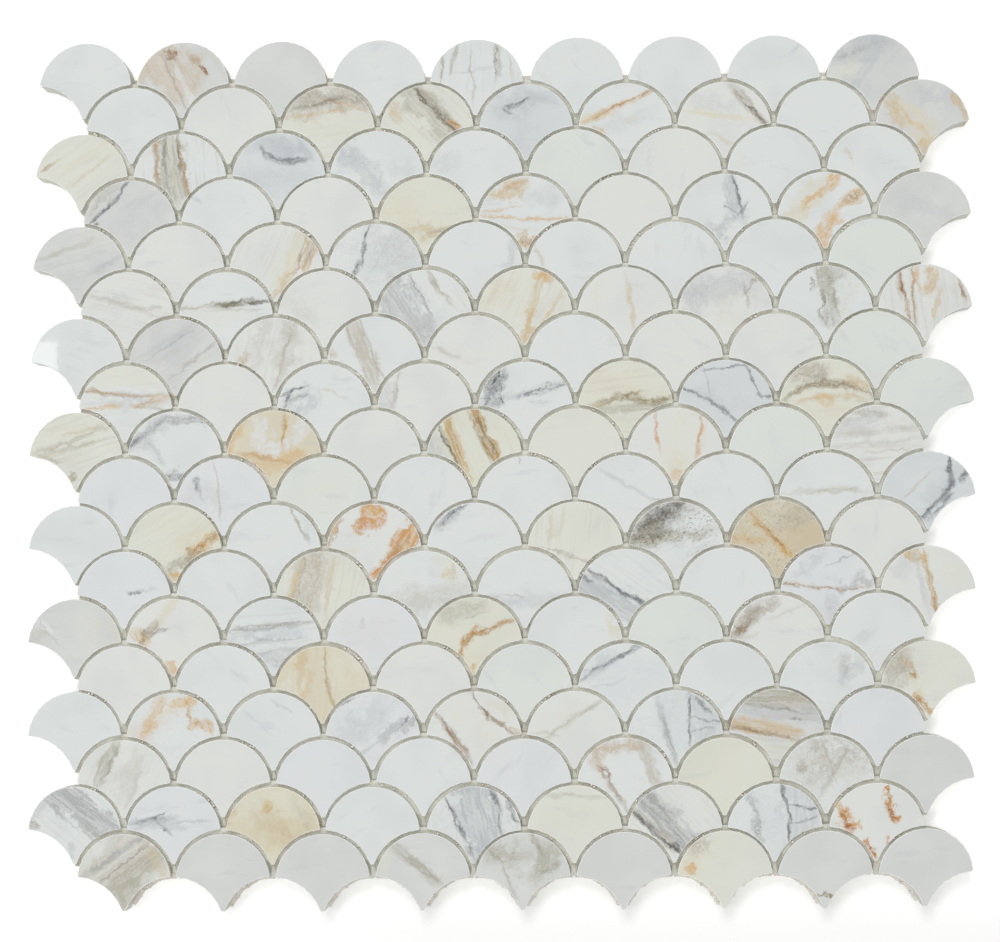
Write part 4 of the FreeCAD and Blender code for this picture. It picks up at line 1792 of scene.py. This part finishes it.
def glue_beads(material):
    """Small clear beads of glue in the joints, mostly on the side of a head that faces the middle."""
    chance = random.Random(5)
    bm = bmesh.new()
    for row in range(2, ROWS):
        for column in range(COLUMNS):
            if chance.random() < 0.25:
                continue
            centre = chip_centre(row, column)
            to_right = column < 5 or (column < 7 and chance.random() < 0.4)
            middle = chance.uniform(42, 66)
            for _ in range(chance.randint(4, 9)):
                angle = math.radians(middle + chance.gauss(0, 10))
                add_shape(bm, glue_bead(chance, centre, angle if to_right else math.pi - angle))
    piece = new_piece("glue_beads", bm, material)
    settle(piece.data)
    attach(piece, "root")
    return piece


def soft_lamp(name, place, width, depth, power):
    """Rectangular soft box that faces straight down."""
    lamp = bpy.data.lights.new(name, "AREA")
    lamp.shape = "RECTANGLE"
    lamp.size = width
    lamp.size_y = depth
    lamp.energy = power
    holder = bpy.data.objects.new(name, lamp)
    holder.location = place
    bpy.context.scene.collection.objects.link(holder)


def studio_world():
    """Pale surroundings: white to the camera, softer as light."""
    world = bpy.data.worlds.new("pale_studio")
    world.use_nodes = True
    tree = world.node_tree
    rays = add_node(tree, "ShaderNodeLightPath").outputs
    seen = calc(tree, "MAXIMUM", rays["Is Camera Ray"], rays["Is Transmission Ray"])
    strength = calc(tree, "MULTIPLY_ADD", seen, 0.44, 0.56)
    strength = calc(tree, "MULTIPLY_ADD", rays["Is Glossy Ray"], 0.06, strength)
    feed(tree, tree.nodes["Background"], {"Color": (1.0, 1.0, 1.0, 1.0), "Strength": strength})
    bpy.context.scene.world = world


def pale_floor():
    """Wide plain floor: white to the camera and in reflections, softer as light, with painted shade that
    darkens it towards its near side, from the middle to the right.
    """
    bm = bmesh.new()
    bmesh.ops.create_grid(bm, x_segments=1, y_segments=1, size=6.0)
    bmesh.ops.translate(bm, vec=(0, 0, -0.05 * MM), verts=bm.verts[:])
    material, tree, shader = new_material("studio_floor")
    rays = add_node(tree, "ShaderNodeLightPath").outputs
    seen = calc(tree, "MAXIMUM", rays["Is Camera Ray"], rays["Is Glossy Ray"])
    x, y, _ = split(tree, object_place(tree))
    # Painted shade: towards the near side, from the middle to the right, the floor's colour darkens and
    # its glow drops, as the light falls off there
    painted_falloff = calc(tree, "MULTIPLY", ramp(tree, y, -0.11, -0.15), ramp(tree, x, -0.16, -0.02))
    plain = blend_colour(tree, painted_falloff, with_alpha("floor"), with_alpha("floor_painted_shade"))
    glow = calc(tree, "MULTIPLY_ADD", painted_falloff, -0.24, 0.32)
    feed(
        tree,
        shader,
        {
            "Base Color": blend_colour(tree, seen, (0.8, 0.8, 0.79, 1.0), plain),
            "Roughness": 1.0,
            "Specular IOR Level": 0.0,
            "Emission Color": with_alpha("floor"),
            "Emission Strength": calc(tree, "MULTIPLY", seen, glow),
        },
    )
    return new_piece("studio_floor", bm, material)


def overhead_camera():
    """Camera that looks almost straight down on the sheet."""
    camera = bpy.data.objects.new("camera", bpy.data.cameras.new("camera"))
    camera.data.sensor_width = SENSOR_WIDTH
    camera.data.lens = SENSOR_WIDTH * FOCAL_SHARE
    camera.rotation_mode = "ZYX"
    camera.rotation_euler = [math.radians(angle) for angle in CAMERA_TURN]
    camera.location = CAMERA_PLACE
    bpy.context.scene.collection.objects.link(camera)
    return camera


class MOSAIC_OT_stage(bpy.types.Operator):
    """Make the floor, the soft light and the camera"""

    bl_idname = "mosaic.stage"
    bl_label = "Stage"
    bl_options = {"REGISTER", "UNDO"}

    def execute(self, context):
        floor = pale_floor()
        soft_lamp("key_softbox", place=(-0.35, 1.2, 2.4), width=1.1, depth=0.84, power=22.0)
        soft_lamp("near_softbox", place=(-0.2, -1.25, 2.2), width=1.0, depth=0.5, power=13.0)
        soft_lamp("left_softbox", place=(-1.12, -0.02, 2.4), width=0.72, depth=0.66, power=6.2)
        studio_world()
        context.scene.camera = overhead_camera()
        context.scene.view_settings.view_transform = "Standard"
        return {"FINISHED"}


class MOSAIC_OT_marble_chips(bpy.types.Operator):
    """Make the rows of polished marble chips"""

    bl_idname = "mosaic.marble_chips"
    bl_label = "Marble chips"
    bl_options = {"REGISTER", "UNDO"}

    def execute(self, context):
        group = marble_group()
        materials = (polished_marble(group), eased_arris(group), sawn_marble(group))
        template = chip_template()
        for row in range(ROWS):
            chip_row(row, template, materials)
        bpy.data.meshes.remove(template)
        return {"FINISHED"}


class MOSAIC_OT_backing_mesh(bpy.types.Operator):
    """Make the woven strands of the backing and the film that binds them"""

    bl_idname = "mosaic.backing_mesh"
    bl_label = "Backing mesh"
    bl_options = {"REGISTER", "UNDO"}

    def execute(self, context):
        upright_strand = strand_material("upright_strand", (2600.0, 160.0, 2600.0))
        cross_strand = strand_material("cross_strand", (160.0, 2600.0, 2600.0))
        warp = strand_set("mesh_strands_upright", False, upright_strand)
        weft = strand_set("mesh_strands_across", True, cross_strand)
        film = glue_film(glue_material("cured_film", "film", 0.3))
        for piece in (warp, weft, film):
            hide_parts("backing_mesh")
        return {"FINISHED"}


class MOSAIC_OT_joint_glue(bpy.types.Operator):
    """Make the adhesive between the chips and its small clear beads"""

    bl_idname = "mosaic.joint_glue"
    bl_label = "Joint adhesive"
    bl_options = {"REGISTER", "UNDO"}

    def execute(self, context):
        joint_glue(glue_material("joint_adhesive", "glue", 0.3))
        glue_beads(glue_material("clear_bead", "film", 0.02))
        return {"FINISHED"}


class MOSAIC_PT_sheet(bpy.types.Panel):
    """Sizes, colours and pieces of the mosaic sheet"""

    bl_idname = "MOSAIC_PT_sheet"
    bl_label = "Marble mosaic sheet"
    bl_space_type = "VIEW_3D"
    bl_region_type = "UI"
    bl_category = "Mosaic"

    def draw(self, context):
        column = self.layout.column()
        for operator in OPERATORS:
            column.operator(operator.bl_idname)
        for group in (context.scene.mosaic_sizes, context.scene.stone_colours):
            box = self.layout.box()
            for name in group.bl_rna.properties.keys():
                if name not in ("rna_type", "name"):
                    box.prop(group, name)


OPERATORS = (MOSAIC_OT_stage, MOSAIC_OT_marble_chips, MOSAIC_OT_backing_mesh, MOSAIC_OT_joint_glue)
CLASSES = (MosaicSizes, StoneColours, *OPERATORS, MOSAIC_PT_sheet)


def register():
    for kind in CLASSES:
        bpy.utils.register_class(kind)
    bpy.types.Scene.mosaic_sizes = bpy.props.PointerProperty(type=MosaicSizes)
    bpy.types.Scene.stone_colours = bpy.props.PointerProperty(type=StoneColours)


def unregister():
    del bpy.types.Scene.stone_colours
    del bpy.types.Scene.mosaic_sizes
    for kind in reversed(CLASSES):
        bpy.utils.unregister_class(kind)


def main():
    register()
    bpy.ops.mosaic.stage()
    bpy.ops.mosaic.marble_chips()
    bpy.ops.mosaic.backing_mesh()
    bpy.ops.mosaic.joint_glue()


if __name__ == "__main__":
    main()
